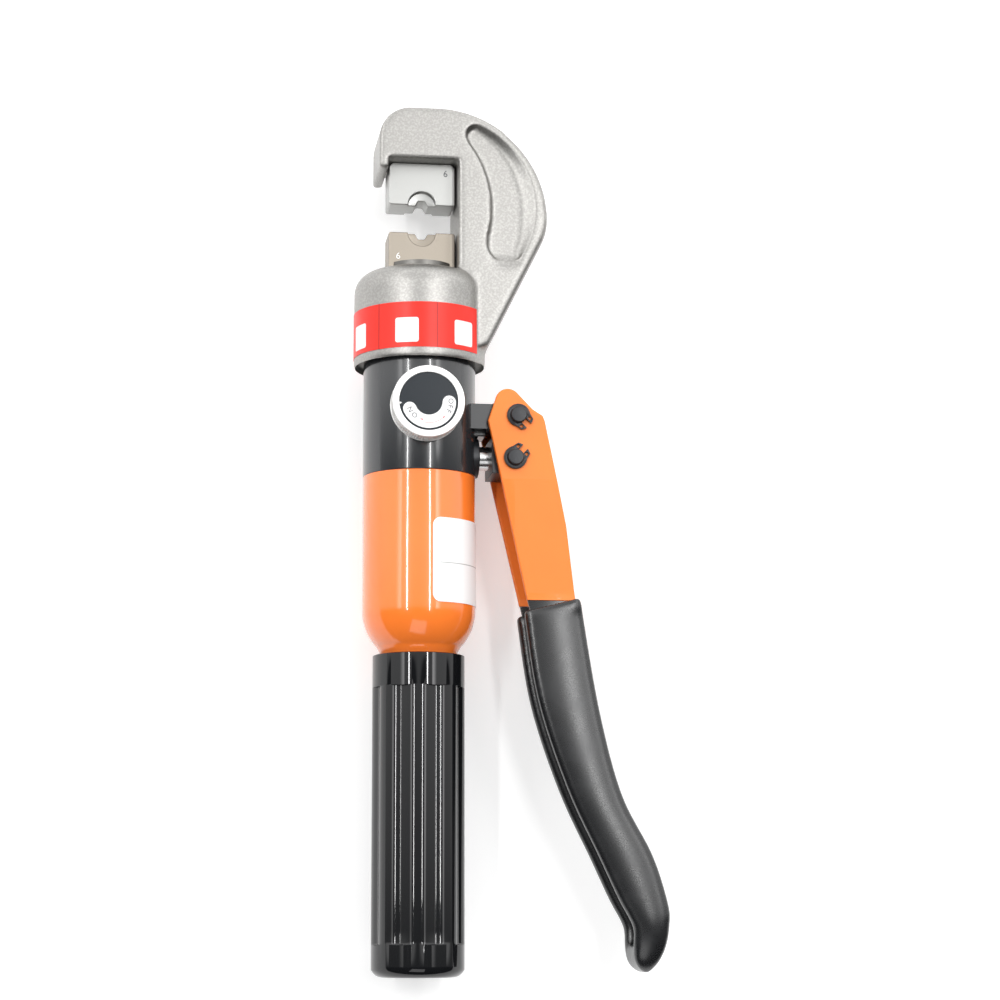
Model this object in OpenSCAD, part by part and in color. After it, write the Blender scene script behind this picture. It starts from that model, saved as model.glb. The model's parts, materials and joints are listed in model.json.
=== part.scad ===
// Hand-pumped hydraulic crimping tool with an open C head.
// X points to the lever, Y runs along the tool from butt to head, Z points to the knob.
// The origin is on the tool axis in the flat face of the butt. All sizes are in millimetres.

/* [Grip] */
// Length of the fixed grip
grip_l = 116.5; // [108:0.5:130]
// Outer diameter of the plain bands of the grip
grip_d = 34; // [32:0.5:37]
// Rounding of the butt edge
grip_edge = 4; // [2:0.5:5]
// Length of the plain band at each end
grip_band = 11.5; // [8:0.5:15]
// Depth of the ridges below the plain bands
ridge_drop = 0.3; // [0.2:0.05:0.5]
// Number of flutes
flute_count = 8; // [6:1:9]
// Depth of one flute
flute_depth = 1.4; // [0.8:0.1:1.8]
// Radius of the cutter that leaves a flute
flute_radius = 10; // [7:0.5:12]
// Outer diameter of the steel tube in the grip
tube_d = 25; // [23:0.5:26]
// Wall of that tube
tube_wall = 2; // [1.5:0.25:3]

/* [Reservoir] */
// Outer diameter of the barrel
barrel_d = 42; // [41.5:0.5:45]
// Wall of the reservoir shell
shell_wall = 3; // [2.5:0.25:3.5]
// Length of the reservoir from the grip to the seam
reservoir_l = 66.5; // [64:0.5:76]
// Diameter of the neck above the grip
neck_d = 31.2; // [29:0.2:33]
// Length of the rounded lower end
dome_l = 13.5; // [11:0.5:15]
// Height of the blank side label
label_h = 31; // [20:1:34]
// Angle that the side label covers
label_arc = 100; // [60:5:120]

/* [Pump body] */
// Length of the body from the seam to its upper edge
body_l = 46; // [45.5:0.5:50]
// Diameter of the main cylinder
bore_d = 33; // [32:0.5:33]
// Wall of the main cylinder under the collar
cylinder_wall = 3.3; // [3:0.1:3.5]
// Length of the cylinder under the collar
cylinder_l = 18; // [17:0.5:20]
// Diameter of the pump plunger
plunger_d = 9; // [8:0.5:9.5]
// Distance of the lever pivot from the barrel wall
pivot_out = 14.5; // [14:0.5:17]
// Distance between the two lever pins
pin_pitch = 16; // [15.5:0.25:17]
// Diameter of the lever pins
pin_d = 6; // [5:0.5:6]

/* [Ram] */
// Diameter of the ram
ram_d = 25.6; // [24.4:0.2:26]
// Length of the piston
piston_l = 12; // [11:0.5:13]
// Height of the ram over the collar at rest
ram_rise = 3; // [2:0.1:4]
// Diameter of the return spring wire
spring_wire = 1.9; // [1.5:0.1:2]

/* [Dies] */
// Width of a die
die_w = 25; // [22:0.5:26]
// Thickness of a die
die_t = 14.4; // [12.4:0.2:16]
// Height of a die
die_h = 16.3; // [14:0.1:18]
// Depth of the die seat in the ram
die_seat = 4.5; // [3.5:0.1:5.5]
// Open gap between the dies at rest
die_gap = 10.7; // [10.6:0.1:14]
// Side of the six-sided nest
nest_side = 2.4; // [1.5:0.1:3.5]
// Radius of the lead-in at the die faces
lead_radius = 5.2; // [4.6:0.1:6]

/* [Head] */
// Thickness of the C frame
head_t = 29; // [26:0.5:31]
// Wall of the collar outside its skirt gap
collar_wall = 2.8; // [2:0.1:4]
// Length of the collar
collar_l = 36.3; // [33.5:0.1:38]
// Rounding of the collar shoulder
shoulder_round = 8; // [5:0.5:9]
// Height of the bridge over the upper die
bridge_h = 19.9; // [17:0.1:24]
// Farthest reach of the frame from the axis
head_reach = 47; // [45:0.5:52]
// Radius of the frame's outer bend
head_bend = 42; // [40:0.5:44]
// Thickness of the hook lip
hook_t = 3.5; // [3:0.1:6]
// Depth of the hook lip below the die seat
hook_drop = 4.2; // [3:0.1:6]
// Depth of the pocket in each face
pocket_depth = 3; // [1:0.25:4]
// Height of the red band on the collar
band_h = 17; // [12:0.5:19]

/* [Knob] */
// Diameter of the release knob
knob_d = 26.4; // [24:0.2:29]
// Height of the release knob
knob_h = 9.4; // [9:0.2:13]
// Diameter of the dial in the knob
dial_d = 21.3; // [19:0.1:22]

/* [Lever] */
// Outer width of the lever at its pivot
lever_w = 27; // [26:0.5:30]
// Outer width of the lever in the sleeve
sleeve_core_w = 22; // [20:0.5:23]
// Sheet thickness of the lever
sheet = 2.5; // [2:0.25:2.75]
// Thickness of the dipped sleeve
coat = 1.6; // [1:0.1:2]
// Length of the lever below its pivot
lever_l = 202; // [185:1:210]
// Sideways sweep of the lever end
lever_bow = 53.5; // [51:0.5:60]

/* [Hidden] */
$fn = 96;

// Clearances shared by the fits
run = 0.06;
slip = 0.02;
air = 0.5;
over = 1;

// Radii along the tool
grip_r = grip_d / 2;
tube_r = tube_d / 2;
barrel_r = barrel_d / 2;
shell_bore_r = barrel_r - shell_wall;
neck_r = neck_d / 2;
bore_r = bore_d / 2;
cylinder_r = bore_r + cylinder_wall;
ram_r = ram_d / 2;
skirt_r = barrel_r + 0.8;
collar_r = skirt_r + collar_wall;
throat_x = max(die_w / 2 + 0.7, ram_r + 0.4);

// Stations along the tool, from the butt to the head
seam_y = grip_l + reservoir_l;
body_top_y = seam_y + body_l;
skirt_l = 4.5;
collar_y = body_top_y - skirt_l;
collar_top_y = collar_y + collar_l;
cylinder_top_y = body_top_y + cylinder_l;
roof_y = cylinder_top_y + air;
ram_top_y = collar_top_y + ram_rise;
lower_face_y = ram_top_y - die_seat + die_h;
upper_face_y = lower_face_y + die_gap;
seat_y = upper_face_y + die_h;
head_top_y = seat_y + bridge_h;

// Stations of the pump, from the seam up to the floor of the main cylinder
pin_r = pin_d / 2;
plunger_r = plunger_d / 2;
gland_wall = 3;
gland_r = plunger_r + gland_wall;
gland_land = 0.35;
plunger_y = seam_y + gland_r + gland_land;
drive_drop = 1.7;
drive_y = plunger_y - drive_drop;
drive_back = 1.2;
pivot_y = drive_y + sqrt(pin_pitch * pin_pitch - drive_back * drive_back);
release_over = 0.7;
release_y = pivot_y + release_over;
floor_over = 7.2;
floor_y = release_y + floor_over;
piston_y = floor_y + air;
piston_top_y = piston_y + piston_l;
spring_room = roof_y - piston_top_y;

// Inside of the grip
butt_wall = 6;
tube_y = butt_wall + air;
tube_into_neck = 10;
tube_top_y = grip_l + tube_into_neck;
plug_l = 8;
plug_y = tube_y + 5;
neck_l = 3;
flute_turn = 8;

// Reservoir shell
dome_y = grip_l + neck_l + dome_l;
dome_step = barrel_r - neck_r;
dome_r = (dome_step * dome_step + dome_l * dome_l) / (2 * dome_step);
dome_x = barrel_r - dome_r;
dome_in_r = dome_r - shell_wall;
dome_in_drop = sqrt(dome_in_r * dome_in_r - (tube_r - dome_x) * (tube_r - dome_x));
label_t = 0.2;
label_drop = 17.7;
label_y = seam_y - label_drop - label_h;
label_start = 8;

// Nose of the body and the oil bag on it
thread_l = 16;
nose_l = 9;
nose_y = seam_y - thread_l - nose_l;
nose_step_y = seam_y - thread_l;
nose_r = shell_bore_r - 2.5;
bag_wall = 1.2;
bag_r = nose_r + bag_wall;
bag_bottom_y = dome_y + 3;
bag_round = 8;
clamp_t = 0.9;
clamp_l = 5;

// Release valve
spindle_r = 4;
bush_r = 6.5;
bush_z = barrel_r - 9;
bush_top_z = barrel_r + 1.5;
oring_l = 2;
spindle_tip_z = 2.4;
spindle_cone_z = 5.4;
spindle_neck_z = 10;
spindle_neck_r = 3;
spindle_tip_r = 0.6;
release_seat_z = 3;
port_r = 1.2;
drain_z = 7.5;
knob_r = knob_d / 2;
knob_z = bush_top_z + air;
knob_top_z = knob_z + knob_h;
dial_r = dial_d / 2;
dial_t = 1;
dial_sink = 0.3;
knob_screw_r = 2;
knob_screw_head_r = 3.6;
knob_screw_head_h = 2.2;
spindle_top_z = knob_top_z - dial_sink - dial_t - knob_screw_head_h - 1.5;
knob_chamfer = 0.8;

// Lever pivot, pump plunger and crosshead
pivot_x = barrel_r + pivot_out;
drive_x = pivot_x - drive_back;
side_gap = 0.5;
lug_w = lever_w - 2 * sheet - 2 * side_gap;
lug_r = pin_r + 1.7;
lug_root_x = 12;
cross_w = lug_w - 1;
cross_wall = 1.8;
slot_half = pin_r + 0.5;
slot_low = 0.4;
slot_high = 3.4;
cross_x = drive_x - slot_half - 4.7;
cross_end_x = drive_x + slot_half + cross_wall;
cross_low_y = drive_y - slot_half - slot_low - cross_wall + 0.4;
cross_high_y = drive_y + slot_half + slot_high + cross_wall - 0.4;
plunger_tail_r = 3;
plunger_tail_l = 3.6;
gland_x = barrel_r - 8;
gland_end_x = barrel_r + 1;
seal_l = 2.5;
seal_r = gland_r - 0.5;
chamber_x = -14;
plunger_tip_x = chamber_x + 8.6;

// Check valves on one line beside the axis
valve_x = -11;
valve_plug_r = 4;
valve_plug_l = 7;
valve_ball_r = 2.5;
valve_seat_r = 1.3;
valve_cage_r = 2.9;
valve_rise = sqrt(valve_ball_r * valve_ball_r - valve_seat_r * valve_seat_r) + 0.05;
inlet_seat_y = nose_y + valve_plug_l;
inlet_ball_y = inlet_seat_y + valve_rise;
cage_l = 9.5;
inlet_roof_y = inlet_seat_y + cage_l;
outlet_seat_y = plunger_y + plunger_r + 3.6;
outlet_ball_y = outlet_seat_y + valve_rise;
outlet_plug_l = 4.4;
outlet_plug_y = floor_y - outlet_plug_l;
valve_spring_r = 1.7;
valve_wire = 0.5;
strainer_gap = 0.3;
strainer_r = nose_r + valve_x - strainer_gap;
strainer_h = 4;
strainer_wall = 0.6;

// Overload valve in the back of the body
relief_x = 7;
relief_y = floor_y - 9;
relief_seat_z = -5;
relief_port_r = 1;
relief_ball_r = 2;
relief_cage_r = 2.4;
relief_rise = sqrt(relief_ball_r * relief_ball_r - relief_port_r * relief_port_r) + 0.05;
relief_ball_z = relief_seat_z - relief_rise;
relief_screw_r = 3.5;
relief_screw_z = relief_seat_z - 9;
relief_end_z = 0.6 - sqrt(barrel_r * barrel_r - relief_x * relief_x);
relief_spring_r = 1.6;
relief_feed_z = relief_seat_z + 2;
relief_drain_z = relief_seat_z - 3;
hex_socket_r = 1.8;
hex_socket_depth = 2.5;

// Head, swivel ring and wiper
ring_y = collar_y + 15.5;
ring_r = cylinder_r;
ring_wire_r = 1;
wiper_y = roof_y + 8;
wiper_l = 3;
wiper_r = ram_r + 2.2;
hook_x = throat_x + hook_t;
hook_round = 12;
bend_x = head_reach - head_bend;
bend_y = head_top_y - head_bend;
flank_bend = 20;
flank_turn = 27;
pocket_r = 34.1;
pocket_x = head_reach - 38.6;
pocket_y = head_top_y - 38;
pocket_in_r = 40.6;
pocket_in_x = pocket_x - 23.7;
pocket_in_y = pocket_y - 0.2;
pocket_end_r = 7.5;
pocket_end_turn = -31.2;
pocket_tip_r = 4;
pocket_tip_turn = 67.7;
band_t = 0.2;
band_gap = 0.3;
band_y = collar_y + 3.2;
die_screw_r = 2.5;
die_screw_l = 9;
dimple_r = 1.6;
dimple_depth = 1;
die_corner = 1.5;
lead_depth = 2;

// Ram and its seals
piston_r = bore_r - run;
groove_r = ram_r + 0.8;
groove_y = piston_y + 3;
piston_seal_l = 2.6;
backup_l = 1.4;
low_screw_r = 0.9;
low_tip_r = 0.6;
low_tip_l = 0.6;
low_screw_y = ram_top_y - die_seat / 2;
low_screw_l = 4;
die_clear = 0.3;
die_step_y = collar_top_y + die_clear;
tongue_gap = 0.4;
tongue_w = 2 * sqrt(ram_r * ram_r - die_t * die_t / 4) - 2 * tongue_gap;

// Lever outline, measured from the pivot
sheet_cut = sheet / cos(12);
tab_x = -3.8;
tab_y = 5.4;
tab_r = 4.7;
lever_left = [-11.2, -2];
lever_notch = [5.4, 2.6];
lever_step = [7.2, 1.4];
lever_shoulder = [9.2, 0.2];
lever_corner = [10, -1.8];
lever_knee = [18, -41];
lever_right = [[0.4, 0.336], [0.523, 0.535], [0.677, 0.693], [0.886, 0.802], [0.989, 0.887],
    [0.998, 0.921], [0.979, 0.956], [0.938, 0.983], [0.883, 1]];
lever_inner = [[0.838, 0.992], [0.828, 0.962], [0.822, 0.924], [0.721, 0.873], [0.591, 0.799],
    [0.374, 0.676], [0.178, 0.519], [0.084, 0.361]];
web_top_y = -3;
jog_top_y = -44;
jog_low_y = -54;
dip_left = [0, -73.4];
dip_right = [24, -67.3];
curve_steps = 6;
tip_solid = 8;
pin_proud = 2.6;
pin_l = lever_w + 2 * pin_proud;
clip_t = 0.9;
clip_gap = 0.15;
clip_r = pin_r + 1.5;
clip_in_r = pin_r - 0.25;
clip_reach = pin_r + 1.9;
clip_hole_r = 0.55;
clip_mouth = 2.6;
clip_z = lever_w / 2 + clip_gap;
bevel = 0.5;

steel_grey = [0.72, 0.72, 0.7];
bright_grey = [0.86, 0.86, 0.86];
black_paint = [0.06, 0.06, 0.06];
orange_paint = [1, 0.42, 0.1];
rubber_black = [0.1, 0.1, 0.1];
brass = [0.78, 0.62, 0.3];

// Points on an arc from one angle to another
function arc(x, y, r, from, to, count) =
    [for (i = [0:count]) [x + r * cos(from + (to - from) * i / count),
        y + r * sin(from + (to - from) * i / count)]];

// One point of a smooth curve between b and c
function bend_point(a, b, c, d, t) =
    0.5 * (2 * b + (c - a) * t + (2 * a - 5 * b + 4 * c - d) * t * t
        + (3 * b - a - 3 * c + d) * t * t * t);

// A smooth curve through a few points
function smooth(p, count) = concat(
    [for (i = [0:len(p) - 2], k = [0:count - 1])
        bend_point(p[max(i - 1, 0)], p[i], p[i + 1], p[min(i + 2, len(p) - 1)], k / count)],
    [p[len(p) - 1]]);

// Sizes of the lever sweep turned into points
function sweep(p) = [for (q = p) [q[0] * lever_bow, -q[1] * lever_l]];

// Place a shape that was drawn along Z so that it runs along Y
module along_y(x, y, z) {
    translate([x, y, z]) rotate([-90, 0, 0]) children();
}

// Place a shape that was drawn along Z so that it runs along X
module along_x(x, y, z) {
    translate([x, y, z]) rotate([0, 90, 0]) children();
}

// Round bar along Y
module bar_y(x, y, z, length, radius) {
    along_y(x, y, z) cylinder(h = length, r = radius);
}

// Round bar along X
module bar_x(x, y, z, length, radius) {
    along_x(x, y, z) cylinder(h = length, r = radius);
}

// Round bar along Z
module bar_z(x, y, z, length, radius) {
    translate([x, y, z]) cylinder(h = length, r = radius);
}

// Ring along Y on the tool axis
module ring_on_axis(y, length, inner, outer) {
    difference() {
        bar_y(0, y, 0, length, outer);
        bar_y(0, y - over, 0, length + 2 * over, inner);
    }
}

// One unbroken coil along Z from 0 to length, measured over the wire
module coil(mean_r, wire, length, turns) {
    sides = 6;
    rings = ceil(turns * 16);
    wire_r = wire / 2;
    rise = length - wire;
    pitch = rise / turns;
    echo(least_gap = pitch - wire);
    points = [for (i = [0:rings], j = [0:sides - 1])
        let (a = 360 * turns * i / rings, b = 360 * j / sides, r = mean_r + wire_r * cos(b))
        [r * cos(a), r * sin(a), wire_r + rise * i / rings + wire_r * sin(b)]];
    skin = [for (i = [0:rings - 1], j = [0:sides - 1])
        [i * sides + j, (i + 1) * sides + j, (i + 1) * sides + (j + 1) % sides,
            i * sides + (j + 1) % sides]];
    start_cap = [[for (j = [0:sides - 1]) j]];
    end_cap = [[for (j = [0:sides - 1]) rings * sides + sides - 1 - j]];
    polyhedron(points = points, faces = concat(skin, start_cap, end_cap), convexity = 8);
}

// Outline of the fixed grip from axis to skin
module grip_profile() {
    translate([0, grip_edge]) square([grip_r, grip_l - grip_edge - bevel]);
    square([grip_r - grip_edge, grip_l]);
    translate([0, grip_edge]) square([grip_r - bevel, grip_l - grip_edge]);
    translate([grip_r - grip_edge, grip_edge]) circle(r = grip_edge);
}

module handle_grip() {
    ridge_l = grip_l - 2 * grip_band;
    flute_y = grip_band + air;
    flute_l = ridge_l - 2 * air;
    color(rubber_black) difference() {
        along_y(0, 0, 0) rotate_extrude() grip_profile();
        bar_y(0, butt_wall, 0, grip_l, tube_r + slip);
        ring_on_axis(grip_band, ridge_l, grip_r - ridge_drop, grip_r + over);
        for (i = [0:flute_count - 1]) {
            rotate([0, -flute_turn + 360 * (i + 0.5) / flute_count, 0])
                bar_y(0, flute_y, grip_r - flute_depth + flute_radius, flute_l, flute_radius);
        }
    }
}

module handle_tube() {
    color(steel_grey) ring_on_axis(tube_y, tube_top_y - tube_y, tube_r - tube_wall, tube_r);
}

module tube_plug() {
    color(brass) difference() {
        bar_y(0, plug_y, 0, plug_l, tube_r - tube_wall - slip);
        bar_y(0, plug_y - over, 0, plug_l + 2 * over, port_r);
    }
}

// Outside of the reservoir shell from axis to skin
module shell_outside() {
    translate([0, grip_l]) square([neck_r, neck_l + over]);
    translate([0, dome_y]) square([barrel_r, seam_y - dome_y]);
    intersection() {
        translate([dome_x, dome_y]) circle(r = dome_r, $fn = 180);
        translate([0, dome_y - dome_l]) square([barrel_r, dome_l]);
    }
}

// Inside of the reservoir shell
module shell_inside() {
    translate([0, dome_y]) square([shell_bore_r, seam_y - dome_y + over]);
    intersection() {
        translate([dome_x, dome_y]) circle(r = dome_in_r, $fn = 180);
        translate([0, dome_y - dome_in_drop]) square([barrel_r, dome_in_drop]);
    }
    translate([0, grip_l - over]) square([tube_r + slip, dome_y - grip_l + over]);
}

module reservoir_shell() {
    color(orange_paint) along_y(0, 0, 0) rotate_extrude() difference() {
        shell_outside();
        shell_inside();
    }
}

module side_label() {
    color([1, 1, 1]) along_y(0, label_y, 0) rotate([0, 0, label_start - 90])
        rotate_extrude(angle = label_arc)
        translate([barrel_r, 0]) square([label_t, label_h]);
}

// Outside of the pump body before any bore
module body_blank() {
    bar_y(0, seam_y, 0, body_l, barrel_r);
    bar_y(0, body_top_y - over, 0, cylinder_l + over, cylinder_r);
    bar_y(0, nose_step_y, 0, thread_l + over, shell_bore_r - slip);
    bar_y(0, nose_y, 0, nose_l + over, nose_r - slip);
    bar_z(pivot_x, pivot_y, -lug_w / 2, lug_w, lug_r);
    translate([lug_root_x, pivot_y - lug_r, -lug_w / 2])
        cube([pivot_x - lug_root_x, 2 * lug_r, lug_w]);
}

// Pump bore with its seal pocket and gland thread
module pump_bore() {
    bar_x(chamber_x, plunger_y, 0, barrel_r - chamber_x, plunger_r + run);
    bar_x(gland_x - seal_l, plunger_y, 0, barrel_r, seal_r);
    bar_x(gland_x, plunger_y, 0, barrel_r, gland_r);
}

// Bores of the two check valves
module valve_bores() {
    bar_y(valve_x, nose_y - over, 0, valve_plug_l + over, valve_plug_r);
    bar_y(valve_x, nose_y, 0, inlet_roof_y - nose_y, valve_cage_r);
    bar_y(valve_x, nose_y, 0, floor_y - nose_y, port_r);
    bar_y(valve_x, outlet_seat_y, 0, floor_y - outlet_seat_y, valve_cage_r);
    bar_y(valve_x, outlet_plug_y, 0, outlet_plug_l + over, valve_plug_r);
}

// Bores of the release valve
module release_bores() {
    bar_z(0, release_y, release_seat_z, barrel_r, spindle_r + run);
    bar_z(0, release_y, bush_z - oring_l, barrel_r, bush_r - 0.5);
    bar_z(0, release_y, bush_z, barrel_r, bush_r);
    bar_z(0, release_y, -port_r, release_seat_z + port_r + over, port_r);
    bar_y(0, release_y, 0, floor_y - release_y + over, port_r);
    bar_y(0, nose_y - over, drain_z, release_y - nose_y + over, port_r);
}

// Bores of the overload valve
module relief_bores() {
    mirror([0, 0, 1]) {
        bar_z(relief_x, relief_y, -relief_seat_z, barrel_r, relief_cage_r);
        bar_z(relief_x, relief_y, -relief_screw_z, barrel_r, relief_screw_r);
        bar_z(relief_x, relief_y, -relief_feed_z, over - relief_seat_z, relief_port_r);
    }
    bar_y(relief_x, relief_y, relief_feed_z, floor_y - relief_y + over, relief_port_r);
    bar_y(relief_x, nose_y - over, relief_drain_z, relief_y - nose_y + over, relief_port_r);
}

module pump_body() {
    color(black_paint) difference() {
        body_blank();
        bar_y(0, floor_y, 0, cylinder_top_y - floor_y + over, bore_r);
        pump_bore();
        valve_bores();
        release_bores();
        relief_bores();
        bar_z(pivot_x, pivot_y, -lug_w, 2 * lug_w, pin_r + run);
        along_y(0, ring_y, 0) rotate_extrude() translate([ring_r, 0]) circle(r = ring_wire_r + run);
    }
}

// Outline of the oil bag from axis to skin
module bag_profile(radius, bottom, corner, top) {
    translate([0, bottom + corner]) square([radius, top - bottom - corner]);
    translate([0, bottom]) square([radius - corner, corner + over]);
    translate([radius - corner, bottom + corner]) circle(r = corner);
}

module oil_bladder() {
    bag_top_y = nose_step_y - air;
    color(rubber_black) along_y(0, 0, 0) rotate_extrude() intersection() {
        difference() {
            bag_profile(bag_r, bag_bottom_y, bag_round, bag_top_y);
            bag_profile(nose_r, bag_bottom_y + bag_wall, bag_round - bag_wall, bag_top_y + over);
        }
        translate([0, bag_bottom_y - over]) square([barrel_r, seam_y]);
    }
}

module bladder_clamp() {
    clamp_y = nose_y + (nose_l - clamp_l) / 2;
    color(steel_grey) ring_on_axis(clamp_y, clamp_l, bag_r + slip, bag_r + clamp_t);
}

module suction_strainer() {
    color(brass) difference() {
        bar_y(valve_x, nose_y - strainer_h, 0, strainer_h, strainer_r);
        bar_y(valve_x, nose_y - strainer_h + strainer_wall, 0, strainer_h, strainer_r - strainer_wall);
        for (turn = [0:60:300]) {
            along_y(valve_x, nose_y - strainer_h - over, 0) rotate([0, 0, turn])
                translate([strainer_r / 2, 0, 0]) cylinder(h = strainer_h, r = strainer_wall, $fn = 24);
        }
    }
}

module inlet_plug() {
    color(brass) difference() {
        bar_y(valve_x, nose_y, 0, valve_plug_l, valve_plug_r - slip);
        bar_y(valve_x, nose_y - over, 0, valve_plug_l + 2 * over, valve_seat_r);
    }
}

module inlet_ball() {
    color(bright_grey) translate([valve_x, inlet_ball_y, 0]) sphere(r = valve_ball_r);
}

module inlet_spring() {
    spring_l = inlet_roof_y - inlet_ball_y - valve_ball_r - 2 * slip;
    color(steel_grey) along_y(valve_x, inlet_ball_y + valve_ball_r + slip, 0)
        coil(valve_spring_r, valve_wire, spring_l, 3.5);
}

module outlet_plug() {
    color(brass) difference() {
        bar_y(valve_x, outlet_plug_y, 0, outlet_plug_l, valve_plug_r - slip);
        bar_y(valve_x, outlet_plug_y - over, 0, outlet_plug_l + 2 * over, valve_seat_r);
    }
}

module outlet_ball() {
    color(bright_grey) translate([valve_x, outlet_ball_y, 0]) sphere(r = valve_ball_r);
}

module outlet_spring() {
    spring_l = outlet_plug_y - outlet_ball_y - valve_ball_r - 2 * slip;
    color(steel_grey) along_y(valve_x, outlet_ball_y + valve_ball_r + slip, 0)
        coil(valve_spring_r, valve_wire, spring_l, 3.5);
}

module relief_screw() {
    color(steel_grey) difference() {
        bar_z(relief_x, relief_y, relief_end_z, relief_screw_z - relief_end_z, relief_screw_r - slip);
        translate([relief_x, relief_y, relief_end_z - over])
            cylinder(h = hex_socket_depth + over, r = hex_socket_r, $fn = 6);
    }
}

module relief_ball() {
    color(bright_grey) translate([relief_x, relief_y, relief_ball_z]) sphere(r = relief_ball_r);
}

module relief_spring() {
    spring_l = relief_ball_z - relief_ball_r - relief_screw_z - 2 * slip;
    color(steel_grey) translate([relief_x, relief_y, relief_screw_z + slip])
        coil(relief_spring_r, valve_wire, spring_l, 4);
}

module pump_gland() {
    color(steel_grey) difference() {
        bar_x(gland_x, plunger_y, 0, gland_end_x - gland_x, gland_r - slip);
        bar_x(gland_x - over, plunger_y, 0, barrel_r, plunger_r + run);
    }
}

module plunger_seal() {
    color(rubber_black) difference() {
        bar_x(gland_x - seal_l + slip, plunger_y, 0, seal_l - 2 * slip, seal_r - slip);
        bar_x(gland_x - seal_l - over, plunger_y, 0, barrel_r, plunger_r + run);
    }
}

module release_bush() {
    color(steel_grey) difference() {
        bar_z(0, release_y, bush_z, bush_top_z - bush_z, bush_r - slip);
        bar_z(0, release_y, bush_z - over, barrel_r, spindle_r + run);
    }
}

module release_oring() {
    color(rubber_black) difference() {
        bar_z(0, release_y, bush_z - oring_l + slip, oring_l - 2 * slip, bush_r - 0.5 - slip);
        bar_z(0, release_y, bush_z - oring_l - over, barrel_r, spindle_r + run);
    }
}

module swivel_ring() {
    color(steel_grey) along_y(0, ring_y, 0) rotate_extrude()
        translate([ring_r, 0]) circle(r = ring_wire_r);
}

module release_spindle() {
    color(steel_grey) difference() {
        union() {
            translate([0, release_y, spindle_tip_z])
                cylinder(h = spindle_cone_z - spindle_tip_z, r1 = spindle_tip_r, r2 = spindle_neck_r);
            bar_z(0, release_y, spindle_cone_z, spindle_neck_z - spindle_cone_z, spindle_neck_r);
            bar_z(0, release_y, spindle_neck_z, spindle_top_z - spindle_neck_z, spindle_r);
        }
        bar_z(0, release_y, knob_z, knob_h, knob_screw_r);
    }
}

module knob() {
    dial_floor_z = knob_top_z - dial_sink - dial_t;
    color(bright_grey) difference() {
        union() {
            bar_z(0, release_y, knob_z + knob_chamfer, knob_h - 2 * knob_chamfer, knob_r);
            translate([0, release_y, knob_z])
                cylinder(h = knob_chamfer, r1 = knob_r - knob_chamfer, r2 = knob_r);
            translate([0, release_y, knob_top_z - knob_chamfer])
                cylinder(h = knob_chamfer, r1 = knob_r, r2 = knob_r - knob_chamfer);
        }
        bar_z(0, release_y, dial_floor_z, knob_h, dial_r + run);
        bar_z(0, release_y, dial_floor_z - knob_screw_head_h, knob_h, knob_screw_head_r + run);
        bar_z(0, release_y, knob_z - over, spindle_top_z - knob_z + over, spindle_r + slip);
        bar_z(0, release_y, knob_z, knob_h, knob_screw_r + slip);
    }
}

module knob_dial() {
    color(black_paint) bar_z(0, release_y, knob_top_z - dial_sink - dial_t, dial_t, dial_r);
}

module knob_screw() {
    head_z = knob_top_z - dial_sink - dial_t - knob_screw_head_h;
    color(steel_grey) difference() {
        union() {
            bar_z(0, release_y, head_z, knob_screw_head_h - slip, knob_screw_head_r);
            bar_z(0, release_y, knob_z + air, head_z - knob_z - air + slip, knob_screw_r - slip);
        }
        translate([0, release_y, head_z + knob_screw_head_h / 2])
            cylinder(h = knob_screw_head_h, r = hex_socket_r, $fn = 6);
    }
}

// Outline of the C frame, from the hook lip round to the collar and back up the throat
module frame_outline() {
    flank_x = head_reach - flank_bend;
    polygon(concat(
        [[-throat_x, seat_y - hook_drop], [-hook_x, seat_y - hook_drop]],
        arc(hook_round - hook_x, head_top_y - hook_round, hook_round, 180, 90, 16),
        arc(bend_x, bend_y, head_bend, 90, 0, 40),
        arc(flank_x, bend_y, flank_bend, 0, -flank_turn, 8),
        [[collar_r - 0.3, collar_y + 6], [0, collar_y + 6], [0, collar_top_y - shoulder_round],
            [throat_x, collar_top_y - shoulder_round], [throat_x, seat_y], [-throat_x, seat_y]]));
}

// Outline of the shallow pocket in each face
module pocket_outline() {
    end_x = pocket_x + (pocket_r - pocket_end_r) * cos(pocket_end_turn);
    end_y = pocket_y + (pocket_r - pocket_end_r) * sin(pocket_end_turn);
    tip_x = pocket_x + (pocket_r - pocket_tip_r) * cos(pocket_tip_turn);
    tip_y = pocket_y + (pocket_r - pocket_tip_r) * sin(pocket_tip_turn);
    end_turn = atan2(end_y - pocket_in_y, end_x - pocket_in_x);
    tip_turn = atan2(tip_y - pocket_in_y, tip_x - pocket_in_x);
    polygon(concat(
        arc(pocket_x, pocket_y, pocket_r, pocket_tip_turn, pocket_end_turn, 24),
        arc(end_x, end_y, pocket_end_r, pocket_end_turn, end_turn - 180, 16),
        arc(pocket_in_x, pocket_in_y, pocket_in_r, end_turn, tip_turn, 16),
        arc(tip_x, tip_y, pocket_tip_r, tip_turn + 180, pocket_tip_turn, 10)));
}

// Outside of the collar from axis to skin
module collar_profile() {
    translate([0, collar_y]) square([collar_r, collar_l - shoulder_round]);
    translate([0, collar_y]) square([collar_r - shoulder_round, collar_l]);
    translate([collar_r - shoulder_round, collar_top_y - shoulder_round]) circle(r = shoulder_round);
}

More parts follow.
